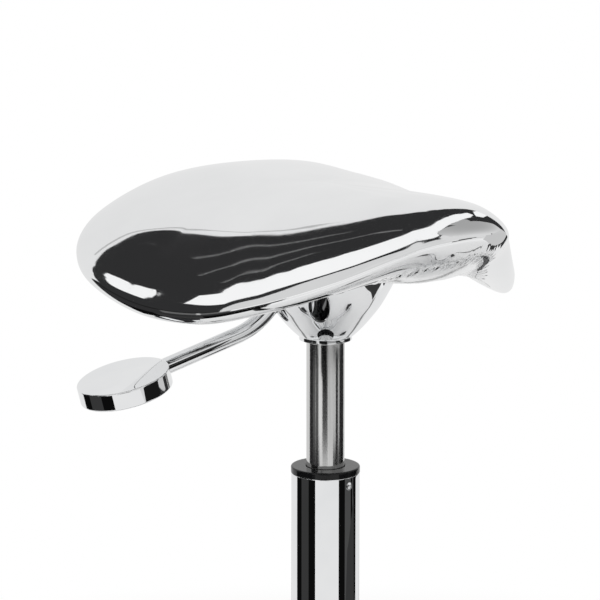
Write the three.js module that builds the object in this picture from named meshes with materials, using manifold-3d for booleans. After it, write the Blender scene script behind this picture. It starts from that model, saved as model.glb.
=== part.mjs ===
// A saddle stool: a saddle-shaped cushion on a chrome bowl bracket and a gas-spring column,
// with a bent height lever and a five-legged star base on twin-wheel castors.
// Millimetres, +Z up. The origin is on the floor on the column's axis, the saddle's front
// points to -Y, and the height lever reaches out to -X.
import * as THREE from "three";
import { mergeVertices } from "three/addons/utils/BufferGeometryUtils.js";
import Module from "manifold-3d";

const wasm = await Module();
wasm.setup();

// General allowances
const CLEARANCE = 0.3;
const OVERRUN = 3;
const WELD = 0.001;
const EDGE = 1;

// Counts of sides and steps
const COLUMN_SIDES = 28;
const INNER_SIDES = 16;
const SMALL_SIDES = 10;
const BALL_SIDES = 6;
const OVAL_STEPS = 6;
const WHEEL_SIDES = 16;
const LEVER_STEPS = 18;
const HOOD_STEPS = 6;
const LEGS = 5;
const SCREWS = 4;
const BALLS = 7;

// Column and gas spring
const COLUMN_RADIUS = 25;
const COLUMN_WALL = 2;
const COLUMN_BOTTOM = 72;
const COLUMN_TAPER = 1.2;
const COLUMN_LIP = 5;
const RING_TOP = 350;
const RING_HEIGHT = 5;
const RING_STAND_OUT = 0.3;
const BUSH_LENGTH = 66;
const DIMPLE_RADIUS = 3;
const DIMPLE_DEPTH = 0.9;
const DIMPLE_DROP = 11;
const DIMPLE_ANGLE = -79;
const CYLINDER_RADIUS = 14;
const CYLINDER_WALL = 2;
const CYLINDER_TAPER = 1;
const CYLINDER_HEAD = 12;
const CYLINDER_BELOW_RING = 152;
const SHOWN_CYLINDER = 90.7;
const END_GUIDE_LENGTH = 14;
const BUTTON_RADIUS = 4;
const BUTTON_PROUD = 6;
const BUTTON_LENGTH = 16;
const ROD_RADIUS = 5;
const ROD_DROP = 74;
const ROD_COLLAR_RADIUS = 9;
const ROD_COLLAR = 3;
const PISTON_LENGTH = 14;
const FOOT_THICKNESS = 5;
const CLIP_RADIUS = 9;
const CLIP_THICKNESS = 1.1;
const RACE_RADIUS = 13;
const RACE_THICKNESS = 2;
const BALL_RADIUS = 2;
const CAGE_THICKNESS = 1.2;
const BUMPER_RADIUS = 12;
const BUMPER_LENGTH = 13;

// Bowl bracket, socket and mounting plate
const COLLAR_HEIGHT = 1.6;
const COLLAR_WALL = 1;
const SOCKET_RADIUS = 16.8;
const SOCKET_DROP = 4;
const CYLINDER_DROP = 15.9;
const BOWL_RADIUS = 52.5;
const BOWL_HEIGHT = 57.6;
const BOWL_WALL = 2;
const BOWL_STEPS = 8;
const WINDOW_WIDTH = 14.6;
const WINDOW_HEIGHT = 34;
const WINDOW_RISE = 30;
const LEVER_SLOT_WIDTH = 17;
const LEVER_SLOT_HEIGHT = 30;
const LEVER_SLOT_DROP = 13.9;
const PLATE_RADIUS = 60;
const PLATE_THICKNESS = 3;
const SCREW_CIRCLE = 38;
const BRACKET_TURN = 6;
const SCREW_RADIUS = 3;
const SCREW_HEAD_RADIUS = 6;
const SCREW_HEAD = 3.6;
const NUT_RADIUS = 4.4;
const NUT_FLANGE_RADIUS = 8;
const NUT_FLANGE = 1.4;

// Height lever
const LEVER_RADIUS = 6;
const LEVER_BEND_OUT = 60;
const LEVER_BEND_DROP = 32.5;
const LEVER_BEND_RADIUS = 16;
const LEVER_OUTER_RUN = 110.7;
const LEVER_OUTER_SLOPE = 16;
const LEVER_INNER_SLOPE = 46;
const LEVER_INNER_RUN = 33;
const DISC_RADIUS = 34;
const DISC_THICKNESS = 13;
const DISC_BORE_DEPTH = 22;
const PIVOT_OUT = 27;
const PIVOT_DROP = 9;
const CAM_WIDTH = 16;
const CAM_EYE_RADIUS = 8;
const CAM_NOSE_RADIUS = 4.3;
const CAM_SLEEVE_LENGTH = 12;
const CAM_SLEEVE_WALL = 2;
const CAM_OVERLAP = 2;
const EAR_THICKNESS = 3;
const EAR_RADIUS = 6.5;
const PIN_RADIUS = 3;
const PIN_HEAD = 1.6;
const PIN_HEAD_RADIUS = 4.6;
const PIN_TAIL = 2.6;
const PIN_RING_THICKNESS = 1;
const PIN_RING_WALL = 1.8;

// Saddle: its plan reaches from the column's axis, and the height that its shares follow
const SEAT_FRONT = 205;
const SEAT_REAR = 145;
const SEAT_HALF_WIDTH = 158;
const SEAT_RISE = 75;
const FOAM_THICKNESS = 58;
const SHELL_THICKNESS = 8;
const LINING_THICKNESS = 1.2;
const SEAT_STEPS = 32;

// Star base
const SPOKE_LENGTH = 245;
const HUB_RADIUS = 33;
const HUB_DRAFT = 2;
const HUB_BOTTOM = 76;
const HUB_TOP = 150;
const HUB_FILLET = 3;
const LEG_HUB_WIDTH = 40;
const LEG_TIP_WIDTH = 25;
const LEG_HUB_TOP = 143;
const LEG_TIP_TOP = 97;
const LEG_CROWN = 7;
const LEG_HUB_UNDER = 80;
const LEG_TIP_UNDER = 66;
const LEG_WALL = 3.5;
const LEG_CAVITY_START = 44;
const TIP_BOSS_RADIUS = 13;
const TIP_BOSS_TOP = 98;
const TIP_BOSS_BOTTOM = 60;

// Castors
const WHEEL_RADIUS = 25;
const WHEEL_WIDTH = 17;
const WHEEL_ROUNDING = 2.5;
const WHEEL_DISH = 3;
const WHEEL_SIDE_GAP = 0.8;
const TRAIL = 25;
const WEB_THICKNESS = 8;
const WEB_RADIUS = 19;
const HOOD_GAP = 1.5;
const HOOD_WALL = 2.6;
const HOOD_SWEEP = 150;
const HOOD_LEAN = 12;
const HOOD_BOSS_RADIUS = 10.5;
const HOOD_BOSS_BOTTOM = 34;
const AXLE_RADIUS = 4;
const STEM_RADIUS = 5.5;
const STEM_TOP = 91;
const STEM_SEAT_DEPTH = 15;
const STEM_RING = 0.2;
const STEM_RING_HEIGHT = 2;

// Rows of the saddle's rim, front to rear: reach forward (of SEAT_FRONT, or of SEAT_REAR
// behind the axis), reach sideways (of SEAT_HALF_WIDTH), then the heights of the widest line,
// of the upper face and of the lower face over the plate (all of SEAT_RISE).
const saddleShares = [
  [1, 0, 0.75, 1.02, 0.6],
  [0.96, 0.12, 0.7, 0.99, 0.53],
  [0.84, 0.24, 0.5, 0.88, 0.29],
  [0.62, 0.47, 0.15, 0.64, -0.09],
  [0.4, 0.69, -0.12, 0.4, -0.39],
  [0.19, 0.86, -0.27, 0.25, -0.58],
  [-0.14, 0.97, -0.26, 0.22, -0.59],
  [-0.57, 1, -0.04, 0.3, -0.37],
  [-0.84, 0.8, 0.23, 0.52, -0.16],
  [-0.97, 0.44, 0.38, 0.82, -0.07],
  [-1, 0, 0.42, 0.9, -0.01],
];
// How far out, from the axis to the rim, the rings of each face lie
const upperRingShares = [0.16, 0.33, 0.49, 0.63, 0.75, 0.85, 0.92, 0.965, 0.99, 1];
const wrapRingShares = [0.985, 0.955, 0.92, 0.885];
const shellRingShares = [0.25, 0.45, 0.63, 0.76, 0.85];
const liningRingShares = [...shellRingShares, 0.875];
const flatShare = 0.45;
const crownPower = 1.7;
const upperRoundingPower = 2.8;
const underRoundingPower = 9;

// The bowl's outline from its foot to its mouth: radius (of BOWL_RADIUS) and height (of BOWL_HEIGHT)
const bowlShares = [
  [0.345, 0],
  [0.375, 0.07],
  [0.52, 0.225],
  [0.665, 0.375],
  [0.79, 0.545],
  [0.925, 0.79],
  [1, 1],
];

// A leg's cross-section from its lower corner over the crown: half widths and heights
const legSectionShares = [
  [1, 0],
  [0.95, 0.62],
  [0.66, 0.92],
  [0, 1],
  [-0.66, 0.92],
  [-0.95, 0.62],
  [-1, 0],
];
const legStationShares = [0, 0.3, 0.6, 1];

// Levels that follow from the dimensions above
const bowlBottom = RING_TOP + SHOWN_CYLINDER + COLLAR_HEIGHT + CLEARANCE;
const bowlTop = bowlBottom + BOWL_HEIGHT;
const plateBottom = bowlTop + CLEARANCE;
const plateTop = plateBottom + PLATE_THICKNESS;
const liningBottom = plateTop + CLEARANCE;
const shellBottom = liningBottom + LINING_THICKNESS + CLEARANCE;
const foamBottom = shellBottom + SHELL_THICKNESS + CLEARANCE;
const cylinderTop = plateBottom - CYLINDER_DROP;
const taperLength = cylinderTop - bowlBottom;
const socketLength = taperLength - SOCKET_DROP;
const cylinderBottom = RING_TOP - CYLINDER_BELOW_RING;
const buttonTop = cylinderTop + BUTTON_PROUD;
const rodTop = RING_TOP - ROD_DROP;
const pivotHeight = plateBottom - PIVOT_DROP;
const bendHeight = pivotHeight - LEVER_BEND_DROP;
const columnTop = RING_TOP - RING_HEIGHT;
const columnInner = COLUMN_RADIUS - COLUMN_WALL;
const footBottom = COLUMN_BOTTOM + COLUMN_WALL + EDGE + CLEARANCE;
const footTop = footBottom + FOOT_THICKNESS;
const lowerRaceBottom = footTop + CLEARANCE;
const ballHeight = lowerRaceBottom + RACE_THICKNESS + CLEARANCE + BALL_RADIUS;
const upperRaceBottom = ballHeight + BALL_RADIUS + CLEARANCE;
const rodCollarBottom = upperRaceBottom + RACE_THICKNESS + CLEARANCE;
const rodCollarTop = rodCollarBottom + ROD_COLLAR;
const axleHeight = WHEEL_RADIUS * Math.cos(Math.PI / WHEEL_SIDES);
const hoodInner = WHEEL_RADIUS + HOOD_GAP;
const hoodOuter = hoodInner + HOOD_WALL;
const hoodTop = TIP_BOSS_BOTTOM - CLEARANCE;
const wheelInner = WEB_THICKNESS / 2 + WHEEL_SIDE_GAP;
const castorHalfWidth = wheelInner + WHEEL_WIDTH;

const radians = THREE.MathUtils.degToRad;
const lerp = THREE.MathUtils.lerp;

// Finishes
const finishes = {
  chrome: [0xd8dadc, 0.06, 1],
  satinSteel: [0xb4b4b2, 0.32, 1],
  steel: [0x9a9c9e, 0.35, 1],
  blackPlastic: [0x18181a, 0.45, 0],
  rubber: [0x202022, 0.85, 0],
  silverVinyl: [0xdedfe1, 0.14, 0.85],
  lining: [0xd4d5d8, 0.3, 0.6],
  board: [0x8d6b45, 0.7, 0],
  tread: [0x3a3b3e, 0.6, 0],
};

function materialOf(finish) {
  const [color, roughness, metalness] = finishes[finish];
  return new THREE.MeshStandardMaterial({ color, roughness, metalness, flatShading: true });
}

function addPiece(group, name, geometry, finish) {
  const mesh = new THREE.Mesh(geometry, materialOf(finish));
  mesh.name = name;
  group.add(mesh);
  return mesh;
}

// A closed solid for joining and cutting
function solidOf(geometry) {
  const bare = geometry.index ? geometry.toNonIndexed() : geometry.clone();
  bare.deleteAttribute("normal");
  bare.deleteAttribute("uv");
  const welded = mergeVertices(bare, WELD);
  const corners = welded.index.array;
  const kept = [];
  for (let i = 0; i < corners.length; i += 3) {
    const [a, b, c] = corners.slice(i, i + 3);
    if (a !== b && b !== c && c !== a) kept.push(a, b, c);
  }
  const vertProperties = welded.attributes.position.array;
  const triVerts = new Uint32Array(kept);
  return new wasm.Manifold(new wasm.Mesh({ numProp: 3, vertProperties, triVerts }));
}

function geometryOf(solid) {
  const made = solid.getMesh();
  const geometry = new THREE.BufferGeometry();
  geometry.setAttribute("position", new THREE.BufferAttribute(made.vertProperties, 3));
  geometry.setIndex(new THREE.BufferAttribute(made.triVerts, 1));
  geometry.computeVertexNormals();
  return geometry;
}

// Joins the first geometries and cuts the second ones out of them
function joinedAndCut(joined, cuts) {
  const whole = joined.map(solidOf).reduce((sum, next) => sum.add(next));
  return geometryOf(cuts.map(solidOf).reduce((rest, next) => rest.subtract(next), whole));
}

// An outline of [radius, height] pairs turned about the Z axis
function turned(points, sides) {
  const outline = points.map(([radius, height]) => new THREE.Vector2(radius, height));
  if (THREE.ShapeUtils.area(outline) < 0) outline.reverse();
  if (outline[0].x > 0) outline.push(outline[0].clone());
  return new THREE.LatheGeometry(outline, sides).rotateX(Math.PI / 2);
}

function ring(inner, outer, bottom, top, sides) {
  return turned([[inner, bottom], [outer, bottom], [outer, top], [inner, top]], sides);
}

function rod(radius, bottom, top, sides) {
  return turned([[0, bottom], [radius, bottom], [radius, top], [0, top]], sides);
}

// A flat outline in X and Z, as thick as depth, centred on the XZ plane
function upright(shape, depth, steps) {
  const options = { depth, bevelEnabled: false, curveSegments: steps };
  const geometry = new THREE.ExtrudeGeometry(shape, options);
  return geometry.rotateX(Math.PI / 2).translate(0, depth / 2, 0);
}

// A closed skin over rings of points, ended by a point at each end. Each quad is split along
// its shorter diagonal, so that two skins over the same rings match.
function skinned(rings, first, last) {
  const count = rings[0].length;
  const corners = [];
  rings.forEach((points) => points.forEach((p) => corners.push(p.x, p.y, p.z)));
  const firstIndex = rings.length * count;
  corners.push(first.x, first.y, first.z, last.x, last.y, last.z);
  const faces = [];
  for (let k = 0; k < count; k += 1) {
    const next = (k + 1) % count;
    const end = (rings.length - 1) * count;
    faces.push(firstIndex, next, k);
    faces.push(firstIndex + 1, end + k, end + next);
    for (let j = 0; j + 1 < rings.length; j += 1) {
      const here = j * count;
      const beyond = here + count;
      const oneWay = rings[j][k].distanceTo(rings[j + 1][next]);
      const otherWay = rings[j][next].distanceTo(rings[j + 1][k]);
      if (oneWay < otherWay) {
        faces.push(here + k, beyond + next, beyond + k);
        faces.push(here + k, here + next, beyond + next);
      } else {
        faces.push(here + k, here + next, beyond + k);
        faces.push(here + next, beyond + next, beyond + k);
      }
    }
  }
  const geometry = new THREE.BufferGeometry();
  geometry.setAttribute("position", new THREE.Float32BufferAttribute(corners, 3));
  geometry.setIndex(faces);
  geometry.computeVertexNormals();
  return geometry;
}

// The outer column tube, tapered where the hub grips it, with a lip under the foot disc
function columnTube() {
  const narrow = COLUMN_RADIUS - COLUMN_TAPER;
  const lip = narrow - COLUMN_WALL - COLUMN_LIP;
  const lipTop = COLUMN_BOTTOM + COLUMN_WALL + EDGE;
  const tube = turned([
    [lip, COLUMN_BOTTOM],
    [narrow - EDGE, COLUMN_BOTTOM],
    [narrow, COLUMN_BOTTOM + EDGE],
    [COLUMN_RADIUS, HUB_TOP],
    [COLUMN_RADIUS, columnTop],
    [columnInner, columnTop],
    [columnInner, HUB_TOP],
    [narrow - COLUMN_WALL, lipTop],
    [lip, lipTop],
  ], COLUMN_SIDES);
  const reach = COLUMN_RADIUS + DIMPLE_RADIUS - DIMPLE_DEPTH;
  const angle = radians(DIMPLE_ANGLE);
  const dimple = new THREE.SphereGeometry(DIMPLE_RADIUS, SMALL_SIDES, BALL_SIDES);
  dimple.translate(reach * Math.cos(angle), reach * Math.sin(angle), RING_TOP - DIMPLE_DROP);
  return joinedAndCut([tube], [dimple]);
}

// The sleeve that guides the gas cylinder, with the black ring that caps the column
function guideBush() {
  const bore = CYLINDER_RADIUS + CLEARANCE;
  const sleeve = columnInner - CLEARANCE;
  const underRing = columnTop + CLEARANCE;
  const flange = COLUMN_RADIUS + RING_STAND_OUT;
  return turned([
    [bore, RING_TOP - BUSH_LENGTH],
    [sleeve, RING_TOP - BUSH_LENGTH],
    [sleeve, underRing],
    [flange, underRing],
    [flange, RING_TOP - EDGE],
    [flange - EDGE, RING_TOP],
    [bore + EDGE, RING_TOP],
    [bore, RING_TOP - EDGE],
  ], COLUMN_SIDES);
}

function gasCylinder() {
  const inner = CYLINDER_RADIUS - CYLINDER_WALL;
  const bore = BUTTON_RADIUS + CLEARANCE;
  return turned([
    [inner, cylinderBottom],
    [CYLINDER_RADIUS, cylinderBottom],
    [CYLINDER_RADIUS, bowlBottom],
    [CYLINDER_RADIUS - CYLINDER_TAPER, cylinderTop],
    [bore, cylinderTop],
    [bore, cylinderTop - CYLINDER_HEAD],
    [inner, cylinderTop - CYLINDER_HEAD],
  ], INNER_SIDES);
}

function releaseButton() {
  const top = buttonTop;
  return turned([
    [0, top - BUTTON_LENGTH],
    [BUTTON_RADIUS, top - BUTTON_LENGTH],
    [BUTTON_RADIUS, top - EDGE],
    [BUTTON_RADIUS - EDGE, top],
    [0, top],
  ], SMALL_SIDES);
}

// The piston rod stands on the thrust bearing by its collar
function pistonRod() {
  const bottom = footBottom - CLEARANCE - CLIP_THICKNESS - CLEARANCE;
  return turned([
    [0, bottom],
    [ROD_RADIUS, bottom],
    [ROD_RADIUS, rodCollarBottom],
    [ROD_COLLAR_RADIUS, rodCollarBottom],
    [ROD_COLLAR_RADIUS, rodCollarTop],
    [ROD_RADIUS, rodCollarTop],
    [ROD_RADIUS, rodTop],
    [0, rodTop],
  ], INNER_SIDES);
}

// The balls in their cage, one piece
function ballCage() {
  const middle = (ROD_RADIUS + RACE_RADIUS) / 2;
  const inner = middle - BALL_RADIUS - EDGE;
  const outer = middle + BALL_RADIUS + EDGE;
  const half = CAGE_THICKNESS / 2;
  const balls = [];
  for (let i = 0; i < BALLS; i += 1) {
    const angle = (i / BALLS) * 2 * Math.PI;
    const ball = new THREE.SphereGeometry(BALL_RADIUS, BALL_SIDES, BALL_SIDES - 2);
    balls.push(ball.translate(middle * Math.cos(angle), middle * Math.sin(angle), ballHeight));
  }
  const cage = ring(inner, outer, ballHeight - half, ballHeight + half, INNER_SIDES);
  return joinedAndCut([cage, ...balls], []);
}

function addColumn(group) {
  addPiece(group, "column_tube", columnTube(), "chrome");
  addPiece(group, "column_guide_bush", guideBush(), "blackPlastic");
  const rodBore = ROD_RADIUS + CLEARANCE;
  const footRadius = COLUMN_RADIUS - COLUMN_TAPER - COLUMN_WALL - CLEARANCE;
  const foot = ring(rodBore, footRadius, footBottom, footTop, INNER_SIDES);
  addPiece(group, "column_foot", foot, "steel");
  const clipTop = footBottom - CLEARANCE;
  const clip = ring(rodBore, CLIP_RADIUS, clipTop - CLIP_THICKNESS, clipTop, INNER_SIDES);
  addPiece(group, "rod_clip", clip, "steel");
  const races = [["bearing_lower_race", lowerRaceBottom], ["bearing_upper_race", upperRaceBottom]];
  for (const [name, bottom] of races) {
    const race = ring(rodBore, RACE_RADIUS, bottom, bottom + RACE_THICKNESS, INNER_SIDES);
    addPiece(group, name, race, "steel");
  }
  addPiece(group, "bearing_ball_cage", ballCage(), "steel");
  const bumperBottom = rodCollarTop + CLEARANCE;
  const bumper = ring(rodBore, BUMPER_RADIUS, bumperBottom, bumperBottom + BUMPER_LENGTH, INNER_SIDES);
  addPiece(group, "rod_bumper", bumper, "rubber");
}

function addGasSpring(group) {
  addPiece(group, "piston_rod", pistonRod(), "chrome");
  const rodBore = ROD_RADIUS + CLEARANCE;
  const inner = CYLINDER_RADIUS - CYLINDER_WALL - CLEARANCE;
  const pistonTop = rodTop - EDGE;
  const piston = ring(rodBore, inner, pistonTop - PISTON_LENGTH, pistonTop, INNER_SIDES);
  addPiece(group, "piston", piston, "steel");
  addPiece(group, "gas_cylinder", gasCylinder(), "satinSteel");
  const guide = ring(rodBore, inner, cylinderBottom, cylinderBottom + END_GUIDE_LENGTH, INNER_SIDES);
  addPiece(group, "cylinder_end_guide", guide, "steel");
  addPiece(group, "release_button", releaseButton(), "steel");
}

// The bowl's wall: its outer outline, and the same outline one wall thickness inside
function bowlOutline() {
  const path = bowlShares.map(
    ([radius, height]) => new THREE.Vector3(radius * BOWL_RADIUS, bowlBottom + height * BOWL_HEIGHT, 0),
  );
  const curve = new THREE.CatmullRomCurve3(path, false, "centripetal");
  const outer = [];
  const inner = [];
  for (let i = 0; i <= BOWL_STEPS; i += 1) {
    const at = curve.getPoint(i / BOWL_STEPS);
    const along = curve.getTangent(i / BOWL_STEPS);
    outer.push([at.x, at.y]);
    const x = Math.max(at.x - BOWL_WALL * along.y, SOCKET_RADIUS + CLEARANCE);
    inner.push([x, Math.min(at.y + BOWL_WALL * along.x, bowlTop)]);
  }
  inner[0] = [SOCKET_RADIUS + CLEARANCE, bowlBottom];
  inner[BOWL_STEPS] = [BOWL_RADIUS - BOWL_WALL, bowlTop];
  return outer.concat(inner.reverse());
}

// An upright oval that reaches from the axis out past the bowl, turned from +Y about Z
function radialCut(width, height, level, angle) {
  const shape = new THREE.Shape();
  shape.absellipse(0, 0, width / 2, height / 2, 0, 2 * Math.PI);
  const depth = BOWL_RADIUS + OVERRUN;
  const options = { depth, bevelEnabled: false, curveSegments: OVAL_STEPS };
  const cut = new THREE.ExtrudeGeometry(shape, options);
  return cut.rotateX(Math.PI / 2).rotateZ(Math.PI + angle).translate(0, 0, level);
}

// The chrome bowl with an oval window below each plate screw and a slot for the lever
function bowlBracket() {
  const cuts = [];
  for (let i = 0; i < SCREWS; i += 1) {
    cuts.push(radialCut(WINDOW_WIDTH, WINDOW_HEIGHT, bowlBottom + WINDOW_RISE, screwAngle(i)));
  }
  const slotLevel = pivotHeight - LEVER_SLOT_DROP;
  cuts.push(radialCut(LEVER_SLOT_WIDTH, LEVER_SLOT_HEIGHT, slotLevel, Math.PI / 2));
  return joinedAndCut([turned(bowlOutline(), COLUMN_SIDES)], cuts);
}

// The socket that grips the cylinder's taper
function taperSocket() {
  const bore = CYLINDER_RADIUS + CLEARANCE;
  const narrowing = (CYLINDER_TAPER * socketLength) / taperLength;
  return turned([
    [bore, bowlBottom],
    [SOCKET_RADIUS, bowlBottom],
    [SOCKET_RADIUS, bowlBottom + socketLength],
    [bore - narrowing, bowlBottom + socketLength],
  ], INNER_SIDES);
}

// The direction of a plate screw about Z, and of the window below it
function screwAngle(i) {
  return ((i + 0.5) / SCREWS) * 2 * Math.PI + radians(BRACKET_TURN);
}

function screwPlace(i) {
  const angle = screwAngle(i);
  return [SCREW_CIRCLE * Math.cos(angle), SCREW_CIRCLE * Math.sin(angle)];
}

function atScrew(geometry, i) {
  const [x, y] = screwPlace(i);
  return geometry.translate(x, y, 0);
}

// One ear of the lever's clevis, from the plate down round the pivot pin
function ear(side) {
  const top = plateBottom + PLATE_THICKNESS / 2;
  const shape = new THREE.Shape();
  shape.moveTo(-EAR_RADIUS, top);
  shape.absarc(0, pivotHeight, EAR_RADIUS, Math.PI, 2 * Math.PI, false);
  shape.lineTo(EAR_RADIUS, top);
  const hole = new THREE.Path();
  hole.absarc(0, pivotHeight, PIN_RADIUS + CLEARANCE, 0, 2 * Math.PI, false);
  shape.holes.push(hole);
  const offset = CAM_WIDTH / 2 + CLEARANCE + EAR_THICKNESS / 2;
  return upright(shape, EAR_THICKNESS, BALL_SIDES).translate(-PIVOT_OUT, side * offset, 0);
}

// The mounting plate with the two ears of the lever's clevis and its four screw holes
function seatPlate() {
  const disc = rod(PLATE_RADIUS, plateBottom, plateTop, COLUMN_SIDES);
  const holes = [];
  for (let i = 0; i < SCREWS; i += 1) {
    const hole = rod(SCREW_RADIUS + CLEARANCE, plateBottom - OVERRUN, plateTop + OVERRUN, SMALL_SIDES);
    holes.push(atScrew(hole, i));
  }
  return joinedAndCut([disc, ear(1), ear(-1)], holes);
}

// A flanged screw from inside the bowl up into its tee nut
function plateScrew(i) {
  const seat = plateBottom - CLEARANCE;
  const tip = shellBottom + SHELL_THICKNESS - CLEARANCE;
  const flange = SCREW_HEAD_RADIUS;
  return atScrew(turned([
    [0, seat - SCREW_HEAD],
    [flange - EDGE - EDGE, seat - SCREW_HEAD],
    [flange - EDGE, seat - EDGE],
    [flange, seat - EDGE],
    [flange, seat],
    [SCREW_RADIUS, seat],
    [SCREW_RADIUS, tip],
    [0, tip],
  ], SMALL_SIDES), i);
}

function teeNut(i) {
  const bore = SCREW_RADIUS + CLEARANCE;
  const top = shellBottom + SHELL_THICKNESS;
  return atScrew(turned([
    [bore, shellBottom],
    [NUT_RADIUS, shellBottom],
    [NUT_RADIUS, top - NUT_FLANGE],
    [NUT_FLANGE_RADIUS, top - NUT_FLANGE],
    [NUT_FLANGE_RADIUS, top],
    [bore, top],
  ], SMALL_SIDES), i);
}

function addBracket(group) {
  const collarTop = bowlBottom - CLEARANCE;
  const inner = CYLINDER_RADIUS + CLEARANCE;
  const collar = ring(inner, inner + COLLAR_WALL, collarTop - COLLAR_HEIGHT, collarTop, INNER_SIDES);
  addPiece(group, "cylinder_collar", collar, "satinSteel");
  addPiece(group, "taper_socket", taperSocket(), "chrome");
  addPiece(group, "bowl_bracket", bowlBracket(), "chrome");
  addPiece(group, "seat_plate", seatPlate(), "steel");
  for (let i = 0; i < SCREWS; i += 1) {
    addPiece(group, `plate_screw_${i + 1}`, plateScrew(i), "steel");
    addPiece(group, `tee_nut_${i + 1}`, teeNut(i), "steel");
  }
}

// The lever rod's line: out and down from the cam, a bend, then the flatter run to the disc
function leverPath() {
  const bend = new THREE.Vector3(-LEVER_BEND_OUT, 0, bendHeight);
  const outward = new THREE.Vector3(-1, 0, 0);
  const axis = new THREE.Vector3(0, 1, 0);
  const outer = outward.clone().applyAxisAngle(axis, -radians(LEVER_OUTER_SLOPE));
  const inner = outward.clone().negate().applyAxisAngle(axis, -radians(LEVER_INNER_SLOPE));
  const along = (direction, distance) => bend.clone().addScaledVector(direction, distance);
  const discCentre = along(outer, LEVER_OUTER_RUN);
  const discEdge = along(outer, LEVER_OUTER_RUN - DISC_RADIUS + DISC_BORE_DEPTH - CLEARANCE);
  const end = along(inner, LEVER_INNER_RUN);
  const curve = new THREE.CurvePath();
  const bendStart = along(inner, LEVER_BEND_RADIUS);
  const bendEnd = along(outer, LEVER_BEND_RADIUS);
  curve.add(new THREE.LineCurve3(end, bendStart));
  curve.add(new THREE.QuadraticBezierCurve3(bendStart, bend, bendEnd));
  curve.add(new THREE.LineCurve3(bendEnd, discEdge));
  return { curve, inner, end, discCentre };
}

function leverRod(path) {
  const section = new THREE.Shape();
  section.absarc(0, 0, LEVER_RADIUS, 0, 2 * Math.PI, false);
  const options = { steps: LEVER_STEPS, curveSegments: SMALL_SIDES / 2, extrudePath: path.curve };
  return new THREE.ExtrudeGeometry(section, options);
}

// The round paddle, bored from its edge for the rod
function leverDisc(path) {
  const half = DISC_THICKNESS / 2;
  const disc = turned([
    [0, -half],
    [DISC_RADIUS - EDGE, -half],
    [DISC_RADIUS, EDGE - half],
    [DISC_RADIUS, half - EDGE],
    [DISC_RADIUS - EDGE, half],
    [0, half],
  ], COLUMN_SIDES);
  const boreEnd = DISC_RADIUS - DISC_BORE_DEPTH;
  const bore = rod(LEVER_RADIUS + CLEARANCE, boreEnd, DISC_RADIUS + OVERRUN, SMALL_SIDES);
  const cut = joinedAndCut([disc], [bore.rotateY(Math.PI / 2)]);
  const { x, y, z } = path.discCentre;
  return cut.rotateY(-radians(LEVER_OUTER_SLOPE)).translate(x, y, z);
}

// The cam: an eye on the pivot pin, a nose over the release button and a sleeve for the rod
function leverCam(path) {
  const noseHeight = buttonTop + CLEARANCE + CAM_NOSE_RADIUS;
  const shape = new THREE.Shape();
  const rise = noseHeight - pivotHeight;
  const lean = Math.atan2(rise, PIVOT_OUT);
  const spread = Math.acos((CAM_EYE_RADIUS - CAM_NOSE_RADIUS) / Math.hypot(PIVOT_OUT, rise));
  shape.absarc(-PIVOT_OUT, pivotHeight, CAM_EYE_RADIUS, lean + spread, 2 * Math.PI, false);
  shape.absarc(0, noseHeight, CAM_NOSE_RADIUS, Math.PI, lean + spread, false);
  const plate = upright(shape, CAM_WIDTH, SMALL_SIDES);
  const sleeveStart = LEVER_INNER_RUN - CAM_SLEEVE_LENGTH;
  const outer = LEVER_RADIUS + CAM_SLEEVE_WALL;
  const bend = new THREE.Vector3(-LEVER_BEND_OUT, 0, bendHeight);
  const toPivot = bend.distanceTo(new THREE.Vector3(-PIVOT_OUT, 0, pivotHeight));
  const reach = toPivot - CAM_EYE_RADIUS + CAM_OVERLAP;
  const sleeve = rod(outer, sleeveStart, reach, INNER_SIDES);
  const boreStart = sleeveStart - OVERRUN;
  const boreEnd = LEVER_INNER_RUN + CLEARANCE;
  const bore = rod(LEVER_RADIUS + CLEARANCE, boreStart, boreEnd, INNER_SIDES);
  const lie = new THREE.Quaternion().setFromUnitVectors(new THREE.Vector3(0, 0, 1), path.inner);
  for (const piece of [sleeve, bore]) {
    piece.applyQuaternion(lie).translate(bend.x, bend.y, bend.z);
  }
  const pin = rod(PIN_RADIUS + CLEARANCE, -CAM_WIDTH, CAM_WIDTH, INNER_SIDES);
  pin.rotateX(Math.PI / 2).translate(-PIVOT_OUT, 0, pivotHeight);
  return joinedAndCut([plate, sleeve], [bore, pin]);
}

// The pivot pin: a head on one side, and a tail with a retaining ring on the other
function leverPin() {
  const half = CAM_WIDTH / 2 + CLEARANCE + EAR_THICKNESS + CLEARANCE;
  const pin = turned([
    [0, -half - PIN_HEAD],
    [PIN_HEAD_RADIUS, -half - PIN_HEAD],
    [PIN_HEAD_RADIUS, -half],
    [PIN_RADIUS, -half],
    [PIN_RADIUS, half + PIN_TAIL],
    [0, half + PIN_TAIL],
  ], INNER_SIDES);
  return pin.rotateX(Math.PI / 2).translate(-PIVOT_OUT, 0, pivotHeight);
}

function pinRing() {
  const start = CAM_WIDTH / 2 + CLEARANCE + EAR_THICKNESS + CLEARANCE;
  const inner = PIN_RADIUS + CLEARANCE;
  const retaining = ring(inner, inner + PIN_RING_WALL, start, start + PIN_RING_THICKNESS, INNER_SIDES);
  return retaining.rotateX(Math.PI / 2).translate(-PIVOT_OUT, 0, pivotHeight);
}

function addLever(group) {
  const path = leverPath();
  addPiece(group, "lever_rod", leverRod(path), "chrome");
  addPiece(group, "lever_disc", leverDisc(path), "chrome");
  addPiece(group, "lever_cam", leverCam(path), "steel");
  addPiece(group, "lever_pin", leverPin(), "steel");
  addPiece(group, "lever_pin_ring", pinRing(), "steel");
}

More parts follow.
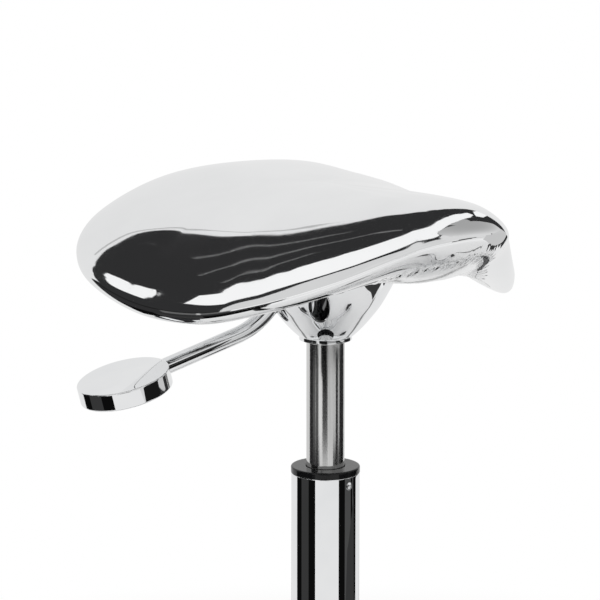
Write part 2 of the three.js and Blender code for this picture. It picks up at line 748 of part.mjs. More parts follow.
// The saddle's rim as two closed curves: where it is widest, and its upper and lower heights
function saddleRim() {
  const mirrored = saddleShares.slice(1, -1).reverse();
  const rows = [
    ...saddleShares,
    ...mirrored.map(([along, across, ...heights]) => [along, -across, ...heights]),
  ];
  const widest = [];
  const faces = [];
  for (const [along, across, middle, upper, under] of rows) {
    const reach = along > 0 ? along * SEAT_FRONT : along * SEAT_REAR;
    widest.push(new THREE.Vector3(-across * SEAT_HALF_WIDTH, -reach, middle * SEAT_RISE));
    faces.push(new THREE.Vector3(upper * SEAT_RISE, under * SEAT_RISE, 0));
  }
  return {
    widest: new THREE.CatmullRomCurve3(widest, true, "catmullrom"),
    faces: new THREE.CatmullRomCurve3(faces, true, "catmullrom"),
  };
}

// A ring of points on the saddle's upper or lower face, a share of the way out to its rim
function saddleRing(rim, share, upper, lift) {
  const points = [];
  for (let k = 0; k < SEAT_STEPS; k += 1) {
    const edge = rim.widest.getPoint(k / SEAT_STEPS);
    const face = rim.faces.getPoint(k / SEAT_STEPS);
    const eased = Math.max(share - flatShare, 0) / (1 - flatShare);
    const top = lerp(FOAM_THICKNESS, face.x, share ** crownPower);
    const under = face.y * eased ** 2;
    const power = upper ? upperRoundingPower : underRoundingPower;
    const fullness = Math.sqrt(Math.max(1 - share ** power, 0));
    const height = lerp(edge.z, upper ? top : under, fullness);
    points.push(new THREE.Vector3(edge.x * share, edge.y * share, liningBottom + lift + height));
  }
  return points;
}

const axisPoint = (height) => new THREE.Vector3(0, 0, height);

// The cushion: crowned upper face, rolled rim, and a recess below that holds the shell and lining
function cushion(rim) {
  const recess = foamBottom - liningBottom;
  const rimShare = wrapRingShares.at(-1);
  const rings = [
    ...upperRingShares.map((share) => saddleRing(rim, share, true, 0)),
    ...wrapRingShares.map((share) => saddleRing(rim, share, false, 0)),
    saddleRing(rim, rimShare, false, recess),
    ...shellRingShares.map((share) => saddleRing(rim, share, false, recess)).reverse(),
  ];
  return skinned(rings, axisPoint(liningBottom + FOAM_THICKNESS), axisPoint(foamBottom));
}

// A sheet that follows the saddle's lower face
function saddleSheet(rim, shares, bottom, thickness) {
  const lift = bottom - liningBottom;
  const above = shares.map((share) => saddleRing(rim, share, false, lift + thickness));
  const below = shares.map((share) => saddleRing(rim, share, false, lift));
  return skinned([...above, ...below.reverse()], axisPoint(bottom + thickness), axisPoint(bottom));
}

function screwCuts(radius, bottom, top) {
  const cuts = [];
  for (let i = 0; i < SCREWS; i += 1) {
    cuts.push(atScrew(rod(radius, bottom, top, SMALL_SIDES), i));
  }
  return cuts;
}

function addSaddle(group) {
  const rim = saddleRim();
  const shellTop = shellBottom + SHELL_THICKNESS;
  addPiece(group, "seat_cushion", cushion(rim), "silverVinyl");
  const shell = saddleSheet(rim, shellRingShares, shellBottom, SHELL_THICKNESS);
  const nutCuts = screwCuts(NUT_RADIUS + CLEARANCE, shellBottom - OVERRUN, shellTop + OVERRUN);
  const flangeBottom = shellTop - NUT_FLANGE - CLEARANCE;
  const flangeCuts = screwCuts(NUT_FLANGE_RADIUS + CLEARANCE, flangeBottom, shellTop + OVERRUN);
  addPiece(group, "seat_shell", joinedAndCut([shell], [...nutCuts, ...flangeCuts]), "board");
  const lining = saddleSheet(rim, liningRingShares, liningBottom, LINING_THICKNESS);
  const holes = screwCuts(SCREW_RADIUS + CLEARANCE, liningBottom - OVERRUN, shellBottom + OVERRUN);
  addPiece(group, "underside_lining", joinedAndCut([lining], holes), "lining");
}

function middleOf(points) {
  const sum = points.reduce((total, point) => total.add(point), new THREE.Vector3());
  return sum.divideScalar(points.length);
}

// A leg's skin: the outer one, or the hollow one wall thickness inside it
function legSkin(start, end, wall) {
  const rings = legStationShares.map((share) => {
    const out = lerp(start, end, share);
    const along = out / SPOKE_LENGTH;
    const half = lerp(LEG_HUB_WIDTH, LEG_TIP_WIDTH, along) / 2 - wall;
    const crown = LEG_CROWN * Math.sin(Math.PI * along);
    const top = lerp(LEG_HUB_TOP, LEG_TIP_TOP, along) + crown - wall;
    const under = lerp(LEG_HUB_UNDER, LEG_TIP_UNDER, along);
    const bottom = wall > 0 ? under - OVERRUN : under;
    return legSectionShares.map(
      ([across, height]) => new THREE.Vector3(out, across * half, lerp(bottom, top, height)),
    );
  });
  return skinned(rings, middleOf(rings[0]), middleOf(rings.at(-1)));
}

function starBase() {
  const joined = [
    turned([
      [0, HUB_BOTTOM],
      [HUB_RADIUS - HUB_FILLET, HUB_BOTTOM],
      [HUB_RADIUS, HUB_BOTTOM + HUB_FILLET],
      [HUB_RADIUS - HUB_DRAFT, HUB_TOP - HUB_FILLET],
      [HUB_RADIUS - HUB_DRAFT - HUB_FILLET, HUB_TOP],
      [0, HUB_TOP],
    ], COLUMN_SIDES),
  ];
  const cuts = [];
  const cavityEnd = SPOKE_LENGTH - TIP_BOSS_RADIUS;
  for (let i = 0; i < LEGS; i += 1) {
    const angle = Math.PI / 2 + (i / LEGS) * 2 * Math.PI;
    const boss = turned([
      [0, TIP_BOSS_BOTTOM],
      [TIP_BOSS_RADIUS - EDGE, TIP_BOSS_BOTTOM],
      [TIP_BOSS_RADIUS, TIP_BOSS_BOTTOM + EDGE],
      [TIP_BOSS_RADIUS, TIP_BOSS_TOP - HUB_FILLET],
      [TIP_BOSS_RADIUS - HUB_FILLET, TIP_BOSS_TOP],
      [0, TIP_BOSS_TOP],
    ], INNER_SIDES).translate(SPOKE_LENGTH, 0, 0);
    const boreRadius = STEM_RADIUS + STEM_RING + CLEARANCE;
    const bore = rod(boreRadius, TIP_BOSS_BOTTOM - OVERRUN, STEM_TOP + CLEARANCE, SMALL_SIDES);
    joined.push(boss.rotateZ(angle), legSkin(HUB_RADIUS / 2, SPOKE_LENGTH, 0).rotateZ(angle));
    cuts.push(legSkin(LEG_CAVITY_START, cavityEnd, LEG_WALL).rotateZ(angle));
    cuts.push(bore.translate(SPOKE_LENGTH, 0, 0).rotateZ(angle));
  }
  const narrow = COLUMN_RADIUS - COLUMN_TAPER + CLEARANCE;
  const slope = COLUMN_TAPER / (HUB_TOP - COLUMN_BOTTOM);
  cuts.push(turned([
    [0, HUB_BOTTOM - OVERRUN],
    [narrow, HUB_BOTTOM - OVERRUN],
    [COLUMN_RADIUS + CLEARANCE + slope * OVERRUN, HUB_TOP + OVERRUN],
    [0, HUB_TOP + OVERRUN],
  ], COLUMN_SIDES));
  return joinedAndCut(joined, cuts);
}

// A wheel on the Y axis, its flat side towards the web, one tread face level at the bottom
function castorWheel(side) {
  const bore = AXLE_RADIUS + CLEARANCE;
  const inside = wheelInner;
  const outside = castorHalfWidth;
  const wheel = turned([
    [bore, inside],
    [WHEEL_RADIUS, inside],
    [WHEEL_RADIUS, outside - WHEEL_ROUNDING],
    [WHEEL_RADIUS - WHEEL_ROUNDING, outside],
    [bore, outside - WHEEL_DISH],
  ], WHEEL_SIDES);
  return wheel.rotateZ(Math.PI / WHEEL_SIDES).rotateX((side * Math.PI) / 2);
}

// The hood: a web between the wheels, an arched cover over them and the boss for the stem
function castorHood() {
  const sweep = radians(HOOD_SWEEP);
  const start = radians(HOOD_LEAN);
  const cover = new THREE.Shape();
  cover.absarc(0, 0, hoodOuter, start, start + sweep, false);
  cover.absarc(0, 0, hoodInner, start + sweep, start, true);
  const full = castorHalfWidth * 2;
  const web = new THREE.Shape();
  web.absarc(0, 0, WEB_RADIUS, start + sweep, start, false);
  web.absarc(0, 0, hoodInner + HOOD_WALL / 2, start, start + sweep, false);
  const toAxle = (geometry) => geometry.translate(TRAIL, 0, axleHeight);
  const boss = rod(HOOD_BOSS_RADIUS, HOOD_BOSS_BOTTOM, hoodTop, INNER_SIDES);
  const roomStart = wheelInner - WHEEL_SIDE_GAP / 2;
  const roomRadius = WHEEL_RADIUS + HOOD_GAP / 2;
  const rooms = [1, -1].map((side) => {
    const room = rod(roomRadius, roomStart, castorHalfWidth + OVERRUN, INNER_SIDES);
    return toAxle(room.rotateX((side * Math.PI) / 2));
  });
  const bore = rod(STEM_RADIUS + CLEARANCE, hoodTop - STEM_SEAT_DEPTH, hoodTop + OVERRUN, SMALL_SIDES);
  const axle = toAxle(rod(AXLE_RADIUS + CLEARANCE, -full, full, SMALL_SIDES).rotateX(Math.PI / 2));
  const shells = [toAxle(upright(cover, full, HOOD_STEPS)), toAxle(upright(web, WEB_THICKNESS, HOOD_STEPS))];
  return joinedAndCut([...shells, boss], [...rooms, bore, axle]);
}

function castorStem() {
  const bottom = hoodTop - STEM_SEAT_DEPTH + CLEARANCE;
  const ringTop = STEM_TOP - STEM_RING_HEIGHT * 2;
  return turned([
    [0, bottom],
    [STEM_RADIUS, bottom],
    [STEM_RADIUS, ringTop - STEM_RING_HEIGHT],
    [STEM_RADIUS + STEM_RING, ringTop - STEM_RING_HEIGHT],
    [STEM_RADIUS + STEM_RING, ringTop],
    [STEM_RADIUS, ringTop],
    [STEM_RADIUS - EDGE, STEM_TOP],
    [0, STEM_TOP],
  ], SMALL_SIDES);
}

function castorAxle() {
  const half = castorHalfWidth - WHEEL_DISH;
  return rod(AXLE_RADIUS, -half, half, SMALL_SIDES).rotateX(Math.PI / 2).translate(TRAIL, 0, axleHeight);
}

// Every castor trails forward, as after a roll to the rear
function addCastors(group) {
  for (let i = 0; i < LEGS; i += 1) {
    const angle = Math.PI / 2 + (i / LEGS) * 2 * Math.PI;
    const castor = new THREE.Group();
    castor.position.set(SPOKE_LENGTH * Math.cos(angle), SPOKE_LENGTH * Math.sin(angle), 0);
    castor.rotation.z = -Math.PI / 2;
    const name = `castor_${i + 1}`;
    addPiece(castor, `${name}_stem`, castorStem(), "steel");
    addPiece(castor, `${name}_hood`, castorHood(), "blackPlastic");
    addPiece(castor, `${name}_axle`, castorAxle(), "steel");
    for (const [label, side] of [["right", 1], ["left", -1]]) {
      const wheel = castorWheel(side).translate(TRAIL, 0, axleHeight);
      addPiece(castor, `${name}_wheel_${label}`, wheel, "tread");
    }
    group.add(castor);
  }
}

const stool = new THREE.Group();
addPiece(stool, "base_star", starBase(), "chrome");
addColumn(stool);
addGasSpring(stool);
addBracket(stool);
addLever(stool);
addSaddle(stool);
addCastors(stool);

export default stool;
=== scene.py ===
import math
import bmesh
import bpy
import numpy as np
from mathutils import Matrix, Vector


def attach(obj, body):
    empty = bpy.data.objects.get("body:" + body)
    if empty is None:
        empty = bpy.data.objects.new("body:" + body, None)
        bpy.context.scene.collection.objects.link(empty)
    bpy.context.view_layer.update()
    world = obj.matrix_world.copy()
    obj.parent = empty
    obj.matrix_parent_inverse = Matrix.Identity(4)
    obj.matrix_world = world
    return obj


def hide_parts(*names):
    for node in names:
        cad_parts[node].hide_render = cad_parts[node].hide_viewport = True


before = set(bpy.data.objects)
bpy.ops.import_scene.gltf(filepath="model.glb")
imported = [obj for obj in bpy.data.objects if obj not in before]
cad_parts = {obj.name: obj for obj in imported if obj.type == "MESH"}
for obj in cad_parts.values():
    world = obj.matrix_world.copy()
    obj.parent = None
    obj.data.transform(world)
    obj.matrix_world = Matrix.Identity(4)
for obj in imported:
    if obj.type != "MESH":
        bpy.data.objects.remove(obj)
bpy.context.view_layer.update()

# Millimetres, as in the part's source, turned to metres when a mesh is made
MM = 0.001
TAU = 2 * math.pi

# ------------------------------------------------------------------ camera
CAMERA_AZIMUTH = math.radians(-32.5)
CAMERA_ELEVATION = math.radians(11.7)
CAMERA_DISTANCE = 2.5
CAMERA_LENS = 207
TARGET_HEIGHT = 0.4733
TARGET_LEFT = 0.0186

right = Vector((math.cos(CAMERA_AZIMUTH), math.sin(CAMERA_AZIMUTH), 0))
toward = Vector((
    math.sin(CAMERA_AZIMUTH) * math.cos(CAMERA_ELEVATION),
    -math.cos(CAMERA_AZIMUTH) * math.cos(CAMERA_ELEVATION),
    math.sin(CAMERA_ELEVATION),
))
target = Vector((0, 0, TARGET_HEIGHT)) - TARGET_LEFT * right
camera_data = bpy.data.cameras.new("camera")
camera_data.lens = CAMERA_LENS
camera_data.sensor_width = 36
camera_data.dof.use_dof = False
camera = bpy.data.objects.new("camera", camera_data)
camera.location = target + CAMERA_DISTANCE * toward
camera.rotation_euler = (-toward).to_track_quat("-Z", "Y").to_euler()
bpy.context.scene.collection.objects.link(camera)
bpy.context.scene.camera = camera


# ------------------------------------------------------------------ mesh helpers
def link(name, mesh, materials):
    piece = bpy.data.objects.new(name, mesh)
    for material in materials if isinstance(materials, (list, tuple)) else [materials]:
        mesh.materials.append(material)
    bpy.context.scene.collection.objects.link(piece)
    return piece


def piece_of(name, verts, faces, materials, sharp=None):
    """A smooth-shaded piece from points in millimetres."""
    mesh = bpy.data.meshes.new(name)
    mesh.from_pydata([tuple(float(c) * MM for c in v) for v in verts], [], faces)
    mesh.validate()
    mesh.shade_smooth()
    if sharp is not None:
        mesh.set_sharp_from_angle(angle=math.radians(sharp))
    return link(name, mesh, materials)


def place(piece, body, node, extra=()):
    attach(piece, body)
    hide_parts(node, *extra)


def rounded(outline, radius=1.0, steps=4, hold=0.25):
    """A closed outline of (radius, height[, rounding]) with its corners rounded off."""
    made = []
    count = len(outline)
    for i, corner in enumerate(outline):
        before, after = outline[i - 1], outline[(i + 1) % count]
        size = corner[2] if len(corner) > 2 else radius
        here = np.array(corner[:2], float)
        back = np.array(before[:2], float) - here
        on = np.array(after[:2], float) - here
        back_length, on_length = np.linalg.norm(back), np.linalg.norm(on)
        if size <= 0 or here[0] <= 1e-6:
            made.append(tuple(here))
            continue
        back, on = back / back_length, on / on_length
        size = min(size, 0.45 * back_length, 0.45 * on_length)
        held = min(hold, 0.1 * back_length, 0.1 * on_length)
        start, end = here + back * size, here + on * size
        made.append(tuple(start + back * held))
        for j in range(steps + 1):
            t = j / steps
            point = (1 - t) ** 2 * start + 2 * t * (1 - t) * here + t * t * end
            made.append(tuple(point))
        made.append(tuple(end + on * held))
    return made


def lathe(outline, sides, angles=None):
    """Points and faces of a closed outline turned about Z; outline points on the axis make a pole."""
    turns = angles if angles is not None else [TAU * i / sides for i in range(sides)]
    verts, rings = [], []
    for r, z in outline:
        if r < 1e-6:
            rings.append([len(verts)])
            verts.append((0.0, 0.0, z))
        else:
            rings.append(list(range(len(verts), len(verts) + len(turns))))
            verts.extend((r * math.cos(a), r * math.sin(a), z) for a in turns)
    faces = []
    count = len(turns)
    for i, ring in enumerate(rings):
        beyond = rings[(i + 1) % len(rings)]
        if len(ring) == 1 and len(beyond) == 1:
            continue
        for k in range(count):
            n = (k + 1) % count
            if len(ring) == 1:
                faces.append((ring[0], beyond[n], beyond[k]))
            elif len(beyond) == 1:
                faces.append((ring[k], ring[n], beyond[0]))
            else:
                faces.append((ring[k], ring[n], beyond[n], beyond[k]))
    return verts, faces


def moved(verts, matrix):
    return [tuple(matrix @ Vector(v)) for v in verts]


def joined(*parts):
    """Several (points, faces) as one."""
    verts, faces = [], []
    for part_verts, part_faces in parts:
        start = len(verts)
        verts.extend(part_verts)
        faces.extend(tuple(start + i for i in face) for face in part_faces)
    return verts, faces


def swept(sections, closed=False, caps=True):
    """Points and faces of a tube through equal rings of points."""
    count = len(sections[0])
    verts = [tuple(p) for section in sections for p in section]
    faces = []
    spans = len(sections) if closed else len(sections) - 1
    for i in range(spans):
        here, beyond = i * count, ((i + 1) % len(sections)) * count
        for k in range(count):
            n = (k + 1) % count
            faces.append((here + k, here + n, beyond + n, beyond + k))
    if caps and not closed:
        faces.append(tuple(reversed(range(count))))
        faces.append(tuple(range((len(sections) - 1) * count, len(sections) * count)))
    return verts, faces


def outward(piece):
    """Turns every face outward."""
    work = bmesh.new()
    work.from_mesh(piece.data)
    bmesh.ops.recalc_face_normals(work, faces=work.faces)
    work.to_mesh(piece.data)
    work.free()
    return piece


def apply_modifiers(piece):
    graph = bpy.context.evaluated_depsgraph_get()
    made = bpy.data.meshes.new_from_object(piece.evaluated_get(graph))
    materials = list(piece.data.materials)
    piece.modifiers.clear()
    piece.data = made
    made.materials.clear()
    for material in materials:
        made.materials.append(material)
    made.shade_smooth()
    return piece


# ------------------------------------------------------------------ materials
class Nodes:
    """A short way to wire a material's nodes."""

    def __init__(self, name):
        self.material = bpy.data.materials.new(name)
        self.material.use_nodes = True
        self.tree = self.material.node_tree
        self.shader = self.tree.nodes["Principled BSDF"]
        self.coords = self.add("ShaderNodeTexCoord").outputs["Object"]

    def add(self, kind, inputs=None, **settings):
        node = self.tree.nodes.new(kind)
        for key, value in settings.items():
            setattr(node, key, value)
        for key, value in (inputs or {}).items():
            self.set(node.inputs[key], value)
        return node

    def set(self, socket, value):
        if isinstance(value, bpy.types.NodeSocket):
            self.tree.links.new(value, socket)
        else:
            socket.default_value = value

    def stretched(self, scale):
        return self.add("ShaderNodeMapping", {"Vector": self.coords, "Scale": scale}).outputs[0]

    def noise(self, scale, detail=3.0, vector=None, roughness=0.55, distortion=0.0):
        inputs = {
            "Vector": vector or self.coords, "Scale": scale, "Detail": detail,
            "Roughness": roughness, "Distortion": distortion,
        }
        return self.add("ShaderNodeTexNoise", inputs).outputs["Fac"]

    def range(self, value, low, high, start=0.3, end=0.7):
        inputs = {"Value": value, "From Min": start, "From Max": end, "To Min": low, "To Max": high}
        return self.add("ShaderNodeMapRange", inputs).outputs[0]

    def blend(self, factor, first, second):
        node = self.add("ShaderNodeMix", data_type="RGBA")
        self.set(node.inputs[0], factor)
        self.set(node.inputs[6], (*first, 1) if isinstance(first, tuple) else first)
        self.set(node.inputs[7], (*second, 1) if isinstance(second, tuple) else second)
        return node.outputs[2]

    def math(self, operation, *values):
        node = self.add("ShaderNodeMath", operation=operation)
        for i, value in enumerate(values):
            self.set(node.inputs[i], value)
        return node.outputs[0]

    def bump(self, height, depth, normal=None):
        node = self.add("ShaderNodeBump", {"Height": height, "Distance": depth, "Strength": 1.0})
        if normal is not None:
            self.set(node.inputs["Normal"], normal)
        return node.outputs[0]

    def put(self, **values):
        names = {
            "colour": "Base Color", "metallic": "Metallic", "roughness": "Roughness", "normal": "Normal",
            "coat": "Coat Weight", "coat_roughness": "Coat Roughness", "anisotropic": "Anisotropic",
            "specular": "Specular IOR Level", "sheen": "Sheen Weight", "ior": "IOR",
        }
        for key, value in values.items():
            if isinstance(value, tuple):
                value = (*value, 1)
            self.set(self.shader.inputs[names[key]], value)
        return self.material


def chrome():
    n = Nodes("chrome")
    film = n.noise(22, 4)
    colour = n.blend(n.range(film, 0, 1), (0.86, 0.87, 0.88), (0.92, 0.925, 0.93))
    smudge = n.noise(60, 6, roughness=0.7)
    normal = n.bump(n.noise(9, 1), 0.00006)
    return n.put(colour=colour, metallic=1.0, roughness=n.range(smudge, 0.015, 0.035), normal=normal)


def satin():
    n = Nodes("satin_steel")
    around = n.stretched((900, 900, 14))
    fine = n.noise(1, 4, vector=around, roughness=0.7)
    broad = n.noise(1, 3, vector=n.stretched((120, 120, 2)))
    colour = n.blend(n.range(fine, 0, 1, 0.25, 0.75), (0.60, 0.60, 0.595), (0.74, 0.74, 0.735))
    normal = n.bump(fine, 0.000012, n.bump(broad, 0.00002))
    return n.put(
        colour=colour, metallic=1.0, roughness=n.range(broad, 0.09, 0.15),
        anisotropic=0.3, normal=normal,
    )


def steel():
    n = Nodes("steel")
    stain = n.noise(70, 5)
    colour = n.blend(n.range(stain, 0, 1), (0.46, 0.47, 0.48), (0.60, 0.60, 0.60))
    rough = n.range(n.noise(240, 5), 0.28, 0.46)
    return n.put(colour=colour, metallic=1.0, roughness=rough, normal=n.bump(n.noise(900, 3), 0.00002))


def black_plastic():
    n = Nodes("black_plastic")
    wear = n.noise(40, 5)
    colour = n.blend(n.range(wear, 0, 1), (0.012, 0.012, 0.013), (0.022, 0.022, 0.023))
    grain = n.noise(2600, 2)
    rough = n.range(n.noise(120, 4), 0.3, 0.42)
    return n.put(colour=colour, roughness=rough, normal=n.bump(grain, 0.00003))


def glossy_plastic():
    n = Nodes("glossy_plastic")
    wear = n.noise(50, 5)
    colour = n.blend(n.range(wear, 0, 1), (0.003, 0.003, 0.0035), (0.007, 0.007, 0.0075))
    grain = n.bump(n.noise(900, 3), 0.00002)
    return n.put(colour=colour, roughness=n.range(n.noise(150, 4), 0.08, 0.16), specular=0.3, normal=grain)


def rubber():
    n = Nodes("rubber")
    dust = n.noise(90, 6, roughness=0.7)
    colour = n.blend(n.range(dust, 0, 1), (0.016, 0.016, 0.017), (0.035, 0.034, 0.033))
    return n.put(colour=colour, roughness=n.range(dust, 0.7, 0.88), normal=n.bump(n.noise(1500, 3), 0.00005))


def tread():
    n = Nodes("tread")
    dust = n.noise(60, 6, roughness=0.7)
    colour = n.blend(n.range(dust, 0, 1), (0.045, 0.046, 0.048), (0.075, 0.075, 0.076))
    rough = n.range(n.noise(200, 4), 0.42, 0.58)
    return n.put(colour=colour, roughness=rough, normal=n.bump(n.noise(1800, 3), 0.00003))


def board():
    n = Nodes("board")
    grain = n.noise(1, 5, vector=n.stretched((90, 9, 400)), roughness=0.65, distortion=0.6)
    colour = n.blend(n.range(grain, 0, 1), (0.30, 0.185, 0.095), (0.50, 0.345, 0.20))
    return n.put(colour=colour, roughness=n.range(grain, 0.55, 0.75), normal=n.bump(grain, 0.0002))


def vinyl(name="silver_vinyl", low=0.035, high=0.06, ripple=0.00005):
    n = Nodes(name)
    film = n.noise(14, 3)
    colour = n.blend(n.range(film, 0, 1), (0.875, 0.88, 0.885), (0.915, 0.92, 0.925))
    rough = n.range(n.noise(260, 4), low, high)
    waves = n.bump(n.noise(26, 1.5), ripple)
    normal = n.bump(n.noise(1400, 2), 0.0000025, waves)
    return n.put(colour=colour, metallic=1.0, roughness=rough, normal=normal)


# Dark grey thread: partly the thread's own colour, partly painted shade, darker than the silver cover so that the
# stitches give the shaded ticks of the gathered seam
def thread():
    n = Nodes("thread")
    twist = n.noise(1800, 3)
    colour = n.blend(n.range(twist, 0, 1), (0.06, 0.06, 0.065), (0.16, 0.16, 0.165))
    return n.put(colour=colour, roughness=n.range(twist, 0.4, 0.6), normal=n.bump(twist, 0.0001))


CHROME, SATIN, STEEL, BLACK = chrome(), satin(), steel(), black_plastic()
GLOSS = glossy_plastic()
RUBBER, TREAD, BOARD = rubber(), tread(), board()
VINYL = vinyl()
LINING = vinyl("lining", 0.1, 0.2, 0.0004)
THREAD_AND_SEAM_SHADE = thread()

# The finish of every solid that stays in sight
kept = {
    "chrome": (CHROME, ["piston_rod"]),
    "steel": (STEEL, [
        "column_foot", "bearing_lower_race", "bearing_ball_cage", "bearing_upper_race", "rod_clip",
        "piston", "cylinder_end_guide", "release_button", "seat_plate", "lever_cam", "lever_pin",
        "lever_pin_ring",
        *[f"plate_screw_{i}" for i in range(1, 5)], *[f"tee_nut_{i}" for i in range(1, 5)],
        *[f"castor_{i}_{part}" for i in range(1, 6) for part in ("stem", "axle")],
    ]),
    "rubber": (RUBBER, ["rod_bumper"]),
}
for material, names in kept.values():
    for name in names:
        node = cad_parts[name]
        node.data.materials.clear()
        node.data.materials.append(material)

# ------------------------------------------------------------------ column
COLUMN_ANGLES = 200
DIMPLE_ANGLE = math.radians(-79)
DIMPLE_LEVEL = 339
DIMPLE_RADIUS = 3.2
DIMPLE_DEPTH = 0.9

fine_angles = [DIMPLE_ANGLE + math.radians(0.6 * i) for i in range(-16, 17)]
coarse = np.linspace(fine_angles[-1], fine_angles[0] + TAU, COLUMN_ANGLES)[1:-1]
column_angles = fine_angles + list(coarse)
near_dimple = [DIMPLE_LEVEL + 0.35 * i for i in range(-11, 12)]
outline = rounded([
    (16.8, 72, 0.6), (23.8, 72, 1.2), (25, 150, 0), (25, 345, 0.35), (23, 345, 0.35),
    (23, 150, 0), (21.8, 75, 0.6), (16.8, 75, 0.6),
])
cut = next(i for i, p in enumerate(outline) if abs(p[0] - 25) < 1e-6 and p[1] > 340)
levels = [200, 250, 290, 320, *near_dimple]
outline[cut:cut] = [(25, z) for z in levels if z < outline[cut][1]]
verts, faces = lathe(outline, 0, column_angles)
pressed = []
for x, y, z in verts:
    r, angle = math.hypot(x, y), math.atan2(y, x)
    away = (angle - DIMPLE_ANGLE + math.pi) % TAU - math.pi
    far = math.hypot(25 * away, z - DIMPLE_LEVEL) / DIMPLE_RADIUS
    if r > 24.5 and far < 1:
        sunk = (r - DIMPLE_DEPTH * (0.5 + 0.5 * math.cos(math.pi * far))) / r
        x, y = x * sunk, y * sunk
    pressed.append((x, y, z))
column = outward(piece_of("column_tube_chrome", pressed, faces, CHROME, 40))
place(column, "base", "column_tube")

bush = lathe(rounded([
    (14.3, 284, 0.5), (22.7, 284, 0.5), (22.7, 345.3, 0.1), (25.3, 345.3, 0.3), (25.3, 350, 1.1),
    (14.3, 350, 1.1),
]), 160)
bush = outward(piece_of("column_guide_bush_black", *bush, GLOSS, 50))
place(bush, "base", "column_guide_bush")

cylinder = lathe(rounded([
    (12, 198, 0.3), (14, 198, 0.5), (14, 442.6, 0), (13, 484.6, 0.5), (4.3, 484.6, 0.3),
    (4.3, 472.6, 0.2), (12, 472.6, 0.4),
]), 160)
cylinder = outward(piece_of("gas_cylinder_satin", *cylinder, SATIN, 50))
place(cylinder, "seat", "gas_cylinder")

collar = lathe(rounded([
    (14.3, 443, 0.3), (15.4, 443, 0.5), (15.4, 444.5, 0.5), (14.3, 444.5, 0.3),
]), 128)
collar = outward(piece_of("cylinder_collar_satin", *collar, SATIN, 50))
place(collar, "seat", "cylinder_collar")

socket = lathe(rounded([
    (14.3, 444.9, 0.1), (14.9, 444.9, 0.1), (14.9, 449, 0.5), (16.8, 452, 1), (16.8, 480.6, 0.8),
    (13.4, 480.6, 0.4),
]), 128)
socket = outward(piece_of("taper_socket_chrome", *socket, CHROME, 50))
place(socket, "seat", "taper_socket")

# ------------------------------------------------------------------ bowl
BOWL_TOP = 500.2
BOWL_WALL = 2
BOWL_TURN = math.radians(6)
BOWL_LIP = 444.6
# The flare above the short upright lip: radius and height
flare = [(17.2, 448.1), (20.3, 450.4), (26.4, 456.4), (33.8, 465.2), (40.8, 474.6), (47.9, 488.1), (52.4, BOWL_TOP)]
# Openings: direction, level, half width and half height
openings = [(math.radians(45 + 90 * i) + BOWL_TURN, 478.2, 7.3, 13.0) for i in range(4)]
openings.append((math.pi, 477.6, 8.5, 15.0))


def smooth_line(points, count, closed=False):
    """count + 1 points on a uniform Catmull-Rom line through the points."""
    points = [np.array(p, float) for p in points]
    total = len(points)
    made = []
    for i in range(count if closed else count + 1):
        t = i / count * (total if closed else total - 1)
        k = min(int(t), total - 1 if closed else total - 2)
        f = t - k
        if closed:
            p0, p1, p2, p3 = (points[(k + j) % total] for j in (-1, 0, 1, 2))
        else:
            p1, p2 = points[k], points[k + 1]
            p0 = points[k - 1] if k else 2 * p1 - p2
            p3 = points[k + 2] if k + 2 < total else 2 * p2 - p1
        made.append(0.5 * (
            2 * p1 + (p2 - p0) * f + (2 * p0 - 5 * p1 + 4 * p2 - p3) * f * f
            + (3 * p1 - p0 - 3 * p2 + p3) * f ** 3
        ))
    return made


def bowl():
    """The bowl's wall as a fine grid, with its openings cut out and its edges rounded."""
    columns, rows = 432, 130
    foot = [(flare[0][0], BOWL_LIP + (flare[0][1] - BOWL_LIP) * i / 6) for i in range(6)]
    line = foot + smooth_line(flare, rows - len(foot))
    grid = [[(r * math.cos(TAU * i / columns), r * math.sin(TAU * i / columns), z) for i in range(columns)]
            for r, z in line]
    work = bmesh.new()
    points = [[work.verts.new([c * MM for c in p]) for p in row] for row in grid]

    def reach(co, opening):
        direction, level, half_width, half_height = opening
        x, y, z = co[0] / MM, co[1] / MM, co[2] / MM
        along = x * math.cos(direction) + y * math.sin(direction)
        across = -x * math.sin(direction) + y * math.cos(direction)
        if along < 0:
            return 9.0
        return math.hypot(across / half_width, (z - level) / half_height)

    for j in range(rows):
        for i in range(columns):
            n = (i + 1) % columns
            corners = [points[j][i], points[j][n], points[j + 1][n], points[j + 1][i]]
            middle = sum((v.co for v in corners), Vector()) / 4
            if all(reach(middle, opening) > 1 for opening in openings):
                work.faces.new(corners)
    for v in [v for v in work.verts if not v.link_faces]:
        work.verts.remove(v)
    # The edge of each opening is drawn onto its oval
    edge_verts = {v for e in work.edges if e.is_boundary for v in e.verts}
    for v in edge_verts:
        for opening in openings:
            far = reach(v.co, opening)
            if 0.8 < far < 1.25:
                direction, level, _, _ = opening
                x, y, z = v.co[0], v.co[1], v.co[2]
                across = (-x * math.sin(direction) + y * math.cos(direction)) / far
                z = level * MM + (z - level * MM) / far
                share = np.interp(z / MM, [p[1] for p in line], [p[0] for p in line]) * MM
                along = math.sqrt(max(share * share - across * across, 0))
                v.co = (
                    along * math.cos(direction) - across * math.sin(direction),
                    along * math.sin(direction) + across * math.cos(direction), z,
                )
    inner_ring = [v for v in edge_verts if v.co[2] > (BOWL_TOP - 0.1) * MM]
    for v in inner_ring:
        v.co[2] = BOWL_TOP * MM
    mesh = bpy.data.meshes.new("bowl_bracket_chrome")
    bmesh.ops.recalc_face_normals(work, faces=work.faces)
    work.to_mesh(mesh)
    work.free()
    piece = link("bowl_bracket_chrome", mesh, CHROME)
    solid = piece.modifiers.new("wall", "SOLIDIFY")
    solid.thickness = BOWL_WALL * MM
    solid.offset = -1
    solid.use_even_offset = True
    bevel = piece.modifiers.new("edge", "BEVEL")
    bevel.width = 0.35 * MM
    bevel.segments = 3
    bevel.limit_method = "ANGLE"
    bevel.angle_limit = math.radians(50)
    return apply_modifiers(piece)


place(bowl(), "seat", "bowl_bracket")

